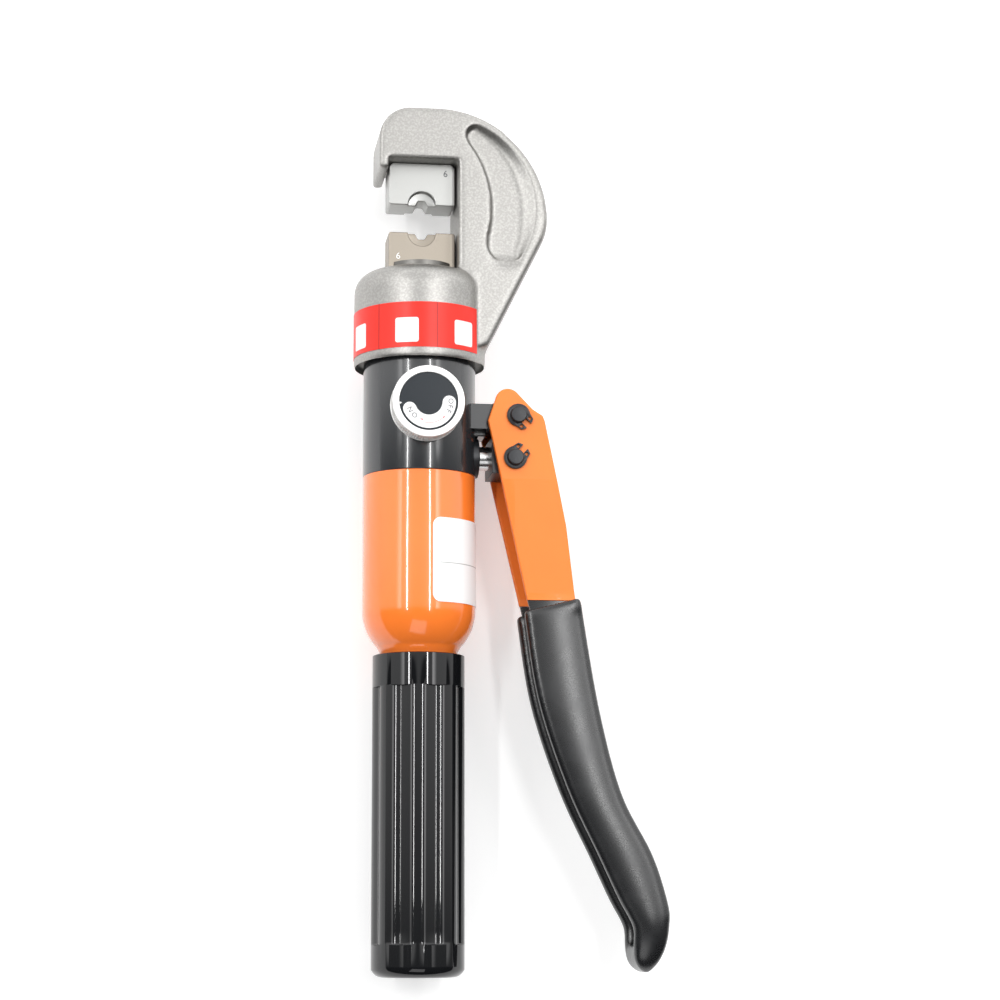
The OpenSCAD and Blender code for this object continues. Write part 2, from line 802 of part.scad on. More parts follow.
module head_frame() {
    color(steel_grey) difference() {
        union() {
            along_y(0, 0, 0) rotate_extrude() collar_profile();
            translate([0, 0, -head_t / 2]) linear_extrude(height = head_t) frame_outline();
        }
        for (side = [0, 1]) {
            mirror([0, 0, side]) translate([0, 0, head_t / 2 - pocket_depth])
                linear_extrude(height = head_t) pocket_outline();
        }
        bar_y(0, collar_y - over, 0, skirt_l + air + over, skirt_r);
        bar_y(0, collar_y, 0, roof_y - collar_y, cylinder_r + run);
        bar_y(0, roof_y - over, 0, collar_top_y - roof_y + 2 * over, ram_r + run);
        bar_y(0, wiper_y, 0, wiper_l, wiper_r);
        bar_y(0, seat_y - over, 0, bridge_h + 2 * over, die_screw_r);
        along_y(0, ring_y, 0) rotate_extrude() translate([ring_r, 0]) circle(r = ring_wire_r + run);
    }
}

module collar_band() {
    color([0.85, 0.1, 0.1]) difference() {
        ring_on_axis(band_y, band_h, collar_r + slip, collar_r + band_t);
        translate([0, band_y - over, -head_t / 2 - band_gap])
            cube([2 * collar_r, band_h + 2 * over, head_t + 2 * band_gap]);
    }
}

module ram_wiper() {
    color(rubber_black) ring_on_axis(wiper_y + slip, wiper_l - 2 * slip, ram_r + run, wiper_r - slip);
}

// Die with its nest at y = 0 and its back at y = die_h
module die() {
    half = die_w / 2;
    nest_h = nest_side * sin(60);
    difference() {
        translate([0, 0, -die_t / 2]) linear_extrude(height = die_t) difference() {
            polygon([[-half + bevel, 0], [half - bevel, 0], [half, bevel], [half, die_h - die_corner],
                [half - die_corner, die_h], [die_corner - half, die_h], [-half, die_h - die_corner],
                [-half, bevel]]);
            polygon([[-nest_side, -over], [nest_side, -over], [nest_side, 0], [nest_side / 2, nest_h],
                [-nest_side / 2, nest_h], [-nest_side, 0]]);
        }
        for (side = [0, 1]) {
            mirror([0, 0, side]) bar_z(0, 0, die_t / 2 - lead_depth, die_t, lead_radius);
        }
    }
}

module upper_die() {
    color(bright_grey) difference() {
        translate([0, upper_face_y, 0]) die();
        bar_y(0, seat_y - dimple_depth, 0, die_h, dimple_r + slip);
    }
}

module upper_die_screw() {
    tip_y = seat_y - dimple_depth + slip;
    screw_y = seat_y + slip;
    color(steel_grey) difference() {
        union() {
            bar_y(0, tip_y, 0, screw_y - tip_y + over, dimple_r);
            bar_y(0, screw_y, 0, die_screw_l, die_screw_r - slip);
        }
        along_y(0, screw_y + die_screw_l - hex_socket_depth, 0)
            cylinder(h = hex_socket_depth + over, r = hex_socket_r * 0.8, $fn = 6);
    }
}

module ram() {
    color(steel_grey) difference() {
        union() {
            bar_y(0, piston_y, 0, piston_l, piston_r);
            bar_y(0, piston_y, 0, ram_top_y - piston_y, ram_r);
        }
        ring_on_axis(groove_y, piston_seal_l + backup_l, groove_r, bore_r + over);
        translate([-bore_r, ram_top_y - die_seat, -die_t / 2 - slip])
            cube([bore_d, die_seat + over, die_t + 2 * slip]);
        bar_z(0, low_screw_y, -bore_r, bore_r, low_screw_r);
    }
}

module piston_seal() {
    color(rubber_black)
        ring_on_axis(groove_y + slip, piston_seal_l - slip, groove_r + slip, piston_r + slip);
}

module backup_ring() {
    color([0.9, 0.9, 0.85])
        ring_on_axis(groove_y + piston_seal_l + slip, backup_l - 2 * slip, groove_r + slip, piston_r + slip);
}

module lower_die() {
    color(bright_grey) difference() {
        translate([0, lower_face_y, 0]) mirror([0, 1, 0]) die();
        bar_z(0, low_screw_y, -die_t, die_t / 2 + low_tip_l + slip, low_tip_r + slip);
        for (side = [0, 1]) {
            mirror([side, 0, 0]) translate([tongue_w / 2, die_step_y - die_h, -die_t])
                cube([die_w, die_h, 2 * die_t]);
        }
    }
}

module lower_die_screw() {
    screw_z = -die_t / 2 - slip;
    color(steel_grey) difference() {
        union() {
            bar_z(0, low_screw_y, screw_z - low_screw_l, low_screw_l, low_screw_r - slip);
            bar_z(0, low_screw_y, screw_z - over, over + low_tip_l, low_tip_r);
        }
        translate([0, low_screw_y, screw_z - low_screw_l - over])
            cylinder(h = hex_socket_depth, r = low_screw_r / 2, $fn = 6);
    }
}

module return_spring() {
    spring_r = (ram_r + bore_r) / 2;
    color(steel_grey) along_y(0, piston_top_y + slip, 0)
        coil(spring_r, spring_wire, spring_room - 2 * slip, 4.5);
}

module plunger() {
    color(bright_grey) {
        bar_x(plunger_tip_x, plunger_y, 0, cross_x - plunger_tip_x, plunger_r);
        bar_x(cross_x - over, plunger_y, 0, plunger_tail_l + over, plunger_tail_r);
    }
}

module crosshead() {
    color(black_paint) difference() {
        translate([cross_x, cross_low_y, -cross_w / 2])
            cube([cross_end_x - cross_x, cross_high_y - cross_low_y, cross_w]);
        bar_z(drive_x, drive_y - slot_low, -cross_w, 2 * cross_w, slot_half);
        bar_z(drive_x, drive_y + slot_high, -cross_w, 2 * cross_w, slot_half);
        translate([drive_x - slot_half, drive_y - slot_low, -cross_w])
            cube([2 * slot_half, slot_low + slot_high, 2 * cross_w]);
        bar_x(cross_x - over, plunger_y, 0, plunger_tail_l + over + slip, plunger_tail_r + slip);
    }
}

// Side view of the lever sheet
module lever_outline() {
    polygon(concat([lever_left], arc(tab_x, tab_y, tab_r, 172, 48, 10),
        [lever_notch, lever_step, lever_shoulder, lever_corner, lever_knee],
        smooth(sweep(lever_right), curve_steps), smooth(sweep(lever_inner), curve_steps)));
}

// Hollow of the channel in side view
module lever_hollow() {
    translate([-sheet_cut, 0]) lever_outline();
    translate([-lever_l, web_top_y]) square([2 * lever_l, lever_l]);
}

// Part of the channel between two heights, with straight walls
module channel_part(width, low, high) {
    difference() {
        translate([0, 0, -width / 2]) linear_extrude(height = width) intersection() {
            lever_outline();
            translate([-lever_l, low]) square([2 * lever_l, high - low]);
        }
        translate([0, 0, sheet - width / 2]) linear_extrude(height = width - 2 * sheet) lever_hollow();
    }
}

// Tapered block that narrows from the upper width to the lower one, less a wall
module jog_block(wall) {
    wide = lever_w / 2 - wall;
    slim = sleeve_core_w / 2 - wall;
    translate([-lever_l, 0, 0]) rotate([90, 0, 90]) linear_extrude(height = 2 * lever_l)
        polygon([[jog_top_y, -wide], [jog_top_y, wide], [jog_low_y, slim], [jog_low_y, -slim]]);
}

// Bent stretch where the channel gets narrower
module channel_jog() {
    difference() {
        intersection() {
            translate([0, 0, -lever_w]) linear_extrude(height = 2 * lever_w) lever_outline();
            jog_block(0);
        }
        intersection() {
            translate([0, 0, -lever_w]) linear_extrude(height = 2 * lever_w) lever_hollow();
            jog_block(sheet);
        }
    }
}

module lever_channel() {
    color(orange_paint) translate([pivot_x, pivot_y, 0]) difference() {
        union() {
            channel_part(lever_w, jog_top_y, lever_l);
            channel_jog();
            channel_part(sleeve_core_w, -2 * lever_l, jog_low_y);
        }
        bar_z(0, 0, -lever_w, 2 * lever_w, pin_r + slip);
        bar_z(-drive_back, drive_y - pivot_y, -lever_w, 2 * lever_w, pin_r + slip);
    }
}

// Side view of the dipped part of the lever
module dipped_outline() {
    intersection() {
        lever_outline();
        polygon([dip_left, dip_right, [2 * lever_l, dip_right[1]], [2 * lever_l, -2 * lever_l],
            [-lever_l, -2 * lever_l], [-lever_l, dip_left[1]]]);
    }
}

module lever_sleeve() {
    core = sleeve_core_w - 2 * sheet - 2 * coat;
    color(rubber_black) translate([pivot_x, pivot_y, 0]) difference() {
        translate([0, 0, -sleeve_core_w / 2 - coat]) linear_extrude(height = sleeve_core_w + 2 * coat)
            intersection() {
                offset(r = coat, $fn = 24) dipped_outline();
                polygon([dip_left, dip_right, [2 * lever_l, dip_right[1]], [2 * lever_l, -2 * lever_l],
                    [-lever_l, -2 * lever_l], [-lever_l, dip_left[1]]]);
            }
        translate([0, 0, -core / 2]) linear_extrude(height = core) intersection() {
            translate([-sheet_cut - coat, 0]) offset(delta = coat) lever_outline();
            translate([-lever_l, tip_solid - lever_l]) square(2 * lever_l);
        }
        channel_part(sleeve_core_w, -2 * lever_l, jog_low_y);
    }
}

// Lever pin with a groove near each end
module lever_pin(x, y) {
    color(black_paint) difference() {
        union() {
            bar_z(x, y, bevel - pin_l / 2, pin_l - 2 * bevel, pin_r);
            bar_z(x, y, -pin_l / 2, pin_l, pin_r - bevel);
        }
        for (side = [0, 1]) {
            mirror([0, 0, side]) difference() {
                bar_z(x, y, clip_z - slip, clip_t + 2 * slip, pin_r + over);
                bar_z(x, y, clip_z - over, clip_t + 2 * over, clip_in_r - slip);
            }
        }
    }
}

module pivot_pin() {
    lever_pin(pivot_x, pivot_y);
}

module drive_pin() {
    lever_pin(drive_x, drive_y);
}

// Snap ring with an eye on each side of its mouth
module circlip(x, y, turn) {
    eye_x = clip_reach - 2 * clip_hole_r;
    eye_y = (clip_mouth / 2 + clip_r) / 2;
    translate([x, y, clip_z]) rotate([0, 0, turn]) linear_extrude(height = clip_t) difference() {
        union() {
            circle(r = clip_r);
            translate([0, -clip_r]) square([clip_reach, 2 * clip_r]);
        }
        circle(r = clip_in_r);
        translate([0, -clip_mouth / 2]) square([2 * clip_reach, clip_mouth]);
        translate([eye_x, eye_y]) circle(r = clip_hole_r);
        translate([eye_x, -eye_y]) circle(r = clip_hole_r);
    }
}

module circlips() {
    color(black_paint) for (side = [0, 1]) {
        mirror([0, 0, side]) {
            circlip(pivot_x, pivot_y, -45);
            circlip(drive_x, drive_y, 45);
        }
    }
}

pump_body();
reservoir_shell();
handle_grip();
handle_tube();
tube_plug();
oil_bladder();
bladder_clamp();
suction_strainer();
inlet_plug();
inlet_ball();
inlet_spring();
outlet_plug();
outlet_ball();
outlet_spring();
relief_screw();
relief_ball();
relief_spring();
pump_gland();
plunger_seal();
release_bush();
release_oring();
swivel_ring();
side_label();
knob();
knob_dial();
knob_screw();
release_spindle();
head_frame();
collar_band();
upper_die();
upper_die_screw();
ram_wiper();
return_spring();
ram();
piston_seal();
backup_ring();
lower_die();
lower_die_screw();
plunger();
crosshead();
lever_channel();
lever_sleeve();
pivot_pin();
drive_pin();
circlips();
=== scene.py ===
"""Looks of a hand-pumped crimping tool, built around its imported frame.

All lengths are in metres in the frame of the part: X points to the lever, Y runs along the tool
from the butt to the head, and Z points to the knob. Angles round the barrel start at +Z and grow
towards +X.
"""

import json
import logging
import math
from dataclasses import dataclass, field
from enum import Enum
from typing import Any, Callable, Sequence, Union

import bmesh
import bpy
from mathutils import Matrix, Vector
from mathutils.kdtree import KDTree

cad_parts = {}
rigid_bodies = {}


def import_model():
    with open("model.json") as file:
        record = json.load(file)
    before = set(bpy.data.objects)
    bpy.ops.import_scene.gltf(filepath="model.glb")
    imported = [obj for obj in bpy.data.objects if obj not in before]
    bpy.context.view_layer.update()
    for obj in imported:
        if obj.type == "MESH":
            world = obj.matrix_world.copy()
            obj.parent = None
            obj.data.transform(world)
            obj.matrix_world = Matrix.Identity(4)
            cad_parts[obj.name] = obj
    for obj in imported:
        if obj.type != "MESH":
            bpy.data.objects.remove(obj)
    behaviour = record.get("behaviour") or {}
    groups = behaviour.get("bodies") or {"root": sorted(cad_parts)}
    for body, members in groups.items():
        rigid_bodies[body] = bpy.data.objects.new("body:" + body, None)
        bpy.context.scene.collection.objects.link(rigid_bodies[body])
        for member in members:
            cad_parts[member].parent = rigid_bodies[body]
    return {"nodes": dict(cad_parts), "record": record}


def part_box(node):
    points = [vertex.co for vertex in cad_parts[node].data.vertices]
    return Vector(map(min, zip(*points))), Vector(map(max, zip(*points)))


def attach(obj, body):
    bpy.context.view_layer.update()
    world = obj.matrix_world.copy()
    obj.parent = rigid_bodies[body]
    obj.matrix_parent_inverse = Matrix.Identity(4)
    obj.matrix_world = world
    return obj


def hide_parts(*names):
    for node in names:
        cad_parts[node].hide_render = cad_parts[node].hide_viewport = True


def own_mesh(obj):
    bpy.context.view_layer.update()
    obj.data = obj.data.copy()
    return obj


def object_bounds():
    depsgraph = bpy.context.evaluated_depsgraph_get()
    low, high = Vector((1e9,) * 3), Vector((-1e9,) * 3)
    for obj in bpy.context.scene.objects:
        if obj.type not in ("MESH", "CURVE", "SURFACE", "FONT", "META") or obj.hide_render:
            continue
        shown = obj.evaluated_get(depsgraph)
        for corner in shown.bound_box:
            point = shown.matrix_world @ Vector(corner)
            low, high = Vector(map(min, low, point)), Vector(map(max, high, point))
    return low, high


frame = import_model()
CAD_BOX: tuple[Vector, Vector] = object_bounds()
LOG: logging.Logger = logging.getLogger("crimping_tool")
MM: float = 0.001
FULL_TURN: float = 2 * math.pi
WELD: float = 1e-6
FLAT: float = math.radians(0.6)
NOISE_MEAN: float = 0.5
Span = tuple[float, float]
Triple = tuple[float, float, float]
Color = Triple
Value = Union["Wire", float, Sequence[float]]
Mesh = bmesh.types.BMesh


class Rider(Enum):
    """Bodies of the frame that the pieces ride on."""

    BODY = "body"
    HEAD = "head"
    RAM = "ram"
    PLUNGER = "plunger"
    LEVER = "lever"
    KNOB = "knob"


class Slot(Enum):
    """Material slots of the record."""

    BLACK_PAINT = "black_paint"
    ORANGE_PAINT = "orange_paint"
    GRIP_PLASTIC = "grip_plastic"
    PLAIN_STEEL = "plain_steel"
    BRASS = "brass"
    RUBBER = "rubber"
    HARD_STEEL = "hard_steel"
    SPRING_STEEL = "spring_steel"
    LABEL_WHITE = "label_white"
    KNOB_BRIGHT = "knob_bright"
    DIAL_BLACK = "dial_black"
    PLATED_FORGING = "plated_forging"
    LABEL_RED = "label_red"
    DIE_STEEL = "die_steel"
    DIE_BRONZED = "die_bronzed"
    WHITE_RING = "white_ring"
    DIPPED_VINYL = "dipped_vinyl"
    BLACK_OXIDE = "black_oxide"


class Axis(Enum):
    """Axes of the frame, as directions."""

    X = (1.0, 0.0, 0.0)
    Y = (0.0, 1.0, 0.0)
    Z = (0.0, 0.0, 1.0)


class Wire:
    """A node socket that can stand in a Python expression."""

    def __init__(self, shader: "Board", socket: bpy.types.NodeSocket) -> None:
        """Keeps the socket and the board that it belongs to."""
        self.shader = shader
        self.socket = socket

    def __add__(self, other: Value) -> "Wire":
        """Sum with a number or another wire."""
        return self.shader.math("ADD", self, other)

    def __radd__(self, other: Value) -> "Wire":
        """Sum with a number on the left."""
        return self.shader.math("ADD", other, self)

    def __sub__(self, other: Value) -> "Wire":
        """Difference from a number or another wire."""
        return self.shader.math("SUBTRACT", self, other)

    def __rsub__(self, other: Value) -> "Wire":
        """Difference from a number on the left."""
        return self.shader.math("SUBTRACT", other, self)

    def __mul__(self, other: Value) -> "Wire":
        """Product with a number or another wire."""
        return self.shader.math("MULTIPLY", self, other)

    def __rmul__(self, other: Value) -> "Wire":
        """Product with a number on the left."""
        return self.shader.math("MULTIPLY", other, self)

    def __truediv__(self, other: Value) -> "Wire":
        """Quotient by a number or another wire."""
        return self.shader.math("DIVIDE", self, other)

    def __gt__(self, other: Value) -> "Wire":
        """One where this value is the greater, else zero."""
        return self.shader.math("GREATER_THAN", self, other)

    def __lt__(self, other: Value) -> "Wire":
        """One where this value is the smaller, else zero."""
        return self.shader.math("LESS_THAN", self, other)

    def __abs__(self) -> "Wire":
        """Size of the value without its sign."""
        return self.shader.math("ABSOLUTE", self, 0.0)

    def fade(self, start: float, end: float) -> "Wire":
        """Smooth rise from zero at start to one at end.

        Args:
            start: Value at which the result is zero.
            end: Value at which the result is one.

        Returns:
            The eased wire.
        """
        return self.shader.node(
            "ShaderNodeMapRange",
            {"interpolation_type": "SMOOTHSTEP"},
            {"Value": self, "From Min": start, "From Max": end},
        )


class Board:
    """A node tree of a material or of the world, with the nodes that both use."""

    def __init__(self, tree: bpy.types.NodeTree) -> None:
        """Keeps the tree that the nodes are added to."""
        self.tree = tree

    def feed(self, socket: bpy.types.NodeSocket, value: Value) -> None:
        """Links a wire to a socket, or writes a plain value on it."""
        if isinstance(value, Wire):
            self.tree.links.new(value.socket, socket)
        elif isinstance(value, (int, float)) or len(value) == len(socket.default_value):
            socket.default_value = value
        else:
            socket.default_value = (*value, 1.0)

    def node(
        self,
        kind: str,
        settings: dict[str, Any] | None = None,
        inputs: dict[str | int, Value] | None = None,
        output: str | int = 0,
    ) -> Wire:
        """Adds one node.

        Args:
            kind: Type name of the node.
            settings: Properties, set before the sockets; "stops" fills a colour ramp.
            inputs: Values or wires for its sockets, by name or number.
            output: Name or number of the output that is wanted.

        Returns:
            The wire of that output.
        """
        made = self.tree.nodes.new(kind)
        for name, value in (settings or {}).items():
            if name == "stops":
                ramp = made.color_ramp.elements
                while len(ramp) < len(value):
                    ramp.new(1.0)
                for element, (place, color) in zip(ramp, value):
                    element.position = place
                    element.color = (*color, 1.0)
            else:
                setattr(made, name, value)
        for socket, value in (inputs or {}).items():
            self.feed(made.inputs[socket], value)
        return Wire(self, made.outputs[output])

    def math(self, operation: str, first: Value, second: Value) -> Wire:
        """Adds a Math node on two values."""
        return self.node("ShaderNodeMath", {"operation": operation}, {0: first, 1: second})

    def mix(self, factor: Value, first: Value, second: Value) -> Wire:
        """Adds a colour mix that goes from first to second as the factor rises."""
        return self.node(
            "ShaderNodeMix", {"data_type": "RGBA"}, {0: factor, 6: first, 7: second}, output=2
        )

    def split(self, vector: Wire) -> tuple[Wire, Wire, Wire]:
        """The three parts of a vector, each on its own wire."""
        outputs = self.node("ShaderNodeSeparateXYZ", None, {0: vector}).socket.node.outputs
        return Wire(self, outputs[0]), Wire(self, outputs[1]), Wire(self, outputs[2])


class Shader(Board):
    """One material and the nodes that lead to its principled surface."""

    def __init__(self, name: str) -> None:
        """Makes an empty material with a principled surface."""
        self.material = bpy.data.materials.new(name)
        self.material.use_nodes = True
        super().__init__(self.material.node_tree)
        self.surface = self.tree.nodes["Principled BSDF"]

    def point(self) -> Wire:
        """Object coordinates, which are the frame's own metres."""
        return self.node("ShaderNodeTexCoord", output="Object")

    def axes(self) -> tuple[Wire, Wire, Wire]:
        """The three object coordinates, each on its own wire."""
        return self.split(self.point())

    def noise(
        self, grain: float, detail: float = 3.0, stretch: Sequence[float] = (1, 1, 1)
    ) -> Wire:
        """Cloudy noise.

        Args:
            grain: Size of its largest lumps.
            detail: Number of finer octaves.
            stretch: How much the pattern is squeezed along each axis.

        Returns:
            The noise, around one half.
        """
        place = self.node("ShaderNodeMapping", None, {"Vector": self.point(), "Scale": stretch})
        return self.node(
            "ShaderNodeTexNoise", None, {"Vector": place, "Scale": 1 / grain, "Detail": detail}
        )

    def specks(self, pitch: float, size: float, share: float, core: float = 0.6) -> Wire:
        """Small round specks strewn over the surface.

        Args:
            pitch: Mean distance between the places where a speck may lie.
            size: Radius of a speck as a share of the pitch.
            share: Part of the places that hold one.
            core: Share of the radius that is fully covered.

        Returns:
            One inside a speck, zero elsewhere.
        """
        inputs = {"Vector": self.point(), "Scale": 1 / pitch}
        near = self.node("ShaderNodeTexVoronoi", None, inputs, "Distance")
        chance = self.node("ShaderNodeTexVoronoi", None, inputs, "Color")
        red = self.node("ShaderNodeSeparateColor", None, {0: chance})
        return (1 - near.fade(core * size, size)) * (red < share)

    def bump(self, height: Wire, depth: float, under: Wire | None = None) -> Wire:
        """Normal of a relief.

        Args:
            height: Relief between zero and one.
            depth: Depth that stands for one.
            under: Normal that the relief lies on.

        Returns:
            The bumped normal.
        """
        inputs: dict[str | int, Value] = {"Height": height, "Distance": depth, "Strength": 1.0}
        if under:
            inputs["Normal"] = under
        return self.node("ShaderNodeBump", None, inputs)

    def surfaced(self, **sockets: Value) -> None:
        """Sets sockets of the principled surface, named with underscores for spaces."""
        for name, value in sockets.items():
            self.feed(self.surface.inputs[name.replace("_", " ")], value)


def toned(color: Color, share: float) -> Color:
    """A colour made darker or lighter by a share of itself."""
    return tuple(min(1.0, part * share) for part in color)


@dataclass(frozen=True)
class Finish:
    """A surface finish with its colour and roughness."""

    name: str
    color: Color
    rough: float

    def dress(self, shader: Shader) -> None:
        """Works the finish into a shader."""
        raise NotImplementedError

    def clouded(self, shader: Shader, cloud: Wire, tones: Span) -> Wire:
        """The colour, varied between two tones.

        Args:
            shader: Shader that gets the nodes.
            cloud: Zero where the first tone shows, one where the second does.
            tones: Both tones as shares of the colour.

        Returns:
            The varied colour.
        """
        first, second = tones
        return shader.mix(cloud, toned(self.color, first), toned(self.color, second))

    def material(self) -> bpy.types.Material:
        """A new material with this finish."""
        shader = Shader(self.name)
        self.dress(shader)
        return shader.material


@dataclass(frozen=True)
class GlossPaint(Finish):
    """Stoved gloss paint: slight orange peel, faint clouding and a few dust nibs."""

    coat: float = 0.6
    coat_rough: float = 0.06
    gloss: float = 0.5
    cloud: float = 14 * MM
    tones: Span = (0.93, 1.05)
    haze: float = 3 * MM
    haze_rough: float = 0.06
    peel: float = 0.0015 * MM
    peel_grain: float = 1.3 * MM
    nib: Color = (0.9, 0.75, 0.6)
    nib_pitch: float = 7 * MM
    nib_size: float = 0.03
    nib_share: float = 0.22
    nib_cover: float = 0.7

    def dress(self, shader: Shader) -> None:
        """Works the paint into a shader."""
        paint = self.clouded(shader, shader.noise(self.cloud), self.tones)
        nibs = shader.specks(self.nib_pitch, self.nib_size, self.nib_share)
        shader.surfaced(
            Base_Color=shader.mix(nibs * self.nib_cover, paint, self.nib),
            Roughness=self.rough + shader.noise(self.haze) * self.haze_rough,
            Specular_IOR_Level=self.gloss,
            Coat_Weight=self.coat,
            Coat_Roughness=self.coat_rough,
            Normal=shader.bump(shader.noise(self.peel_grain, detail=1.0), self.peel),
        )


@dataclass(frozen=True)
class PlatedSteel(Finish):
    """Satin plating over a forged surface, mottled, with bright grain and small dents."""

    grain: float = 0.45 * MM
    relief: float = 0.006 * MM
    mottle: float = 0.08
    mottle_size: float = 16 * MM
    dents: float = 0.02 * MM
    dent_pitch: float = 3.2 * MM
    dent_size: float = 0.16
    dent_share: float = 0.3
    stain: float = 4 * MM
    stain_edge: Span = (0.62, 0.78)
    stain_tone: float = 0.8
    stain_cover: float = 0.35
    flake: float = 0.0
    flake_size: float = 0.8 * MM
    flake_edge: Span = (0.42, 0.66)
    flake_tone: float = 1.5
    fine_rough: float = 0.22
    broad_rough: float = 0.12
    metal: float = 1.0

    def dress(self, shader: Shader) -> None:
        """Works the plating into a shader."""
        broad = shader.noise(self.mottle_size, detail=4.0)
        fine = shader.noise(self.grain, detail=2.0)
        plating = self.clouded(shader, broad, (1 - self.mottle, 1 + self.mottle))
        stain = shader.noise(self.stain, detail=4.0).fade(*self.stain_edge) * self.stain_cover
        stained = shader.mix(stain, plating, toned(self.color, self.stain_tone))
        flakes = shader.noise(self.flake_size).fade(*self.flake_edge) * self.flake
        pits = shader.specks(self.dent_pitch, self.dent_size, self.dent_share)
        uneven = (fine - NOISE_MEAN) * self.fine_rough + (broad - NOISE_MEAN) * self.broad_rough
        shader.surfaced(
            Base_Color=shader.mix(flakes, stained, toned(self.color, self.flake_tone)),
            Metallic=self.metal,
            Roughness=self.rough + uneven,
            Normal=shader.bump(1 - pits, self.dents, shader.bump(fine, self.relief)),
        )


@dataclass(frozen=True)
class MouldedPlastic(Finish):
    """Glossy moulded plastic with faint flow marks and hairline rubs."""

    rub: float = 0.05
    rub_grain: float = 0.5 * MM
    rub_stretch: Triple = (1, 0.08, 1)
    rub_edge: Span = (0.62, 0.8)
    gloss: float = 0.5
    flow: float = 9 * MM
    flow_stretch: Triple = (1, 0.25, 1)
    flow_rough: float = 0.05
    tones: Span = (0.85, 1.15)
    skin: float = 0.001 * MM
    skin_grain: float = 1.8 * MM

    def dress(self, shader: Shader) -> None:
        """Works the plastic into a shader."""
        flow = shader.noise(self.flow, stretch=self.flow_stretch)
        scuff = shader.noise(self.rub_grain, stretch=self.rub_stretch).fade(*self.rub_edge)
        shader.surfaced(
            Base_Color=self.clouded(shader, flow, self.tones),
            Roughness=self.rough + flow * self.flow_rough + scuff * self.rub,
            Specular_IOR_Level=self.gloss,
            Normal=shader.bump(shader.noise(self.skin_grain, detail=1.0), self.skin),
        )


@dataclass(frozen=True)
class DippedVinyl(Finish):
    """Satin vinyl from a dip tank: fine skin grain, slow runs and dull handling marks."""

    gloss: float = 0.7
    skin: float = 0.003 * MM
    skin_grain: float = 0.35 * MM
    skin_rough: float = 0.05
    runs: float = 0.02 * MM
    run_grain: float = 7 * MM
    run_stretch: Triple = (1, 0.4, 1)
    worn: float = 11 * MM
    worn_edge: Span = (0.45, 0.75)
    worn_tones: Span = (1.0, 1.5)
    worn_rough: float = 0.03

    def dress(self, shader: Shader) -> None:
        """Works the vinyl into a shader."""
        skin = shader.noise(self.skin_grain, detail=2.0)
        runs = shader.noise(self.run_grain, detail=2.0, stretch=self.run_stretch)
        worn = shader.noise(self.worn, detail=5.0).fade(*self.worn_edge)
        uneven = worn * self.worn_rough + (skin - NOISE_MEAN) * self.skin_rough
        shader.surfaced(
            Base_Color=self.clouded(shader, worn, self.worn_tones),
            Roughness=self.rough + uneven,
            Specular_IOR_Level=self.gloss,
            Normal=shader.bump(skin, self.skin, shader.bump(runs, self.runs)),
        )


@dataclass(frozen=True)
class TurnedMetal(Finish):
    """Bare turned or ground metal with tool marks and light staining."""

    cut: float = 0.4 * MM
    cut_rough: float = 0.14
    groove: float = 0.002 * MM
    stain: float = 5 * MM
    stain_rough: float = 0.05
    tones: Span = (0.88, 1.06)

    def dress(self, shader: Shader) -> None:
        """Works the metal into a shader."""
        cut = shader.noise(self.cut, detail=2.0)
        stain = shader.noise(self.stain, detail=4.0)
        uneven = (cut - NOISE_MEAN) * self.cut_rough + stain * self.stain_rough
        shader.surfaced(
            Base_Color=self.clouded(shader, stain, self.tones),
            Metallic=1.0,
            Roughness=self.rough + uneven,
            Normal=shader.bump(cut, self.groove),
        )


@dataclass(frozen=True)
class BlackOxide(Finish):
    """Oil-blackened steel that shows a little bare metal on its high spots."""

    metal: float = 0.35
    grain: float = 0.3 * MM
    grain_rough: float = 0.1
    relief: float = 0.003 * MM
    rub: float = 1.6 * MM
    rub_edge: Span = (0.6, 0.8)
    rub_cover: float = 0.5
    rub_tones: Span = (1.0, 2.2)
    rub_polish: float = 0.06

    def dress(self, shader: Shader) -> None:
        """Works the blackening into a shader."""
        rub = shader.noise(self.rub, detail=5.0).fade(*self.rub_edge)
        grain = shader.noise(self.grain, detail=2.0)
        uneven = (grain - NOISE_MEAN) * self.grain_rough - rub * self.rub_polish
        shader.surfaced(
            Base_Color=self.clouded(shader, rub * self.rub_cover, self.rub_tones),
            Metallic=self.metal,
            Roughness=self.rough + uneven,
            Normal=shader.bump(grain, self.relief),
        )


@dataclass(frozen=True)
class SoftRubber(Finish):
    """Dull rubber or white sealing plastic with a fine bloom."""

    bloom: float = 3 * MM
    bloom_rough: float = 0.1
    tones: Span = (0.8, 1.25)
    grain: float = 0.25 * MM
    relief: float = 0.003 * MM

    def dress(self, shader: Shader) -> None:
        """Works the rubber into a shader."""
        bloom = shader.noise(self.bloom, detail=4.0)
        shader.surfaced(
            Base_Color=self.clouded(shader, bloom, self.tones),
            Roughness=self.rough + bloom * self.bloom_rough,
            Normal=shader.bump(shader.noise(self.grain, detail=1.0), self.relief),
        )


@dataclass(frozen=True)
class PrintedFilm(Finish):
    """Plain printed film or ink with faint paper clouding."""

    cloud: float = 6 * MM
    cloud_rough: float = 0.06
    tones: Span = (0.96, 1.02)
    grain: float = 0.8 * MM
    relief: float = 0.0006 * MM

    def dress(self, shader: Shader) -> None:
        """Works the film into a shader."""
        cloud = shader.noise(self.cloud)
        shader.surfaced(
            Base_Color=self.clouded(shader, cloud, self.tones),
            Roughness=self.rough + cloud * self.cloud_rough,
            Normal=shader.bump(shader.noise(self.grain, detail=1.0), self.relief),
        )


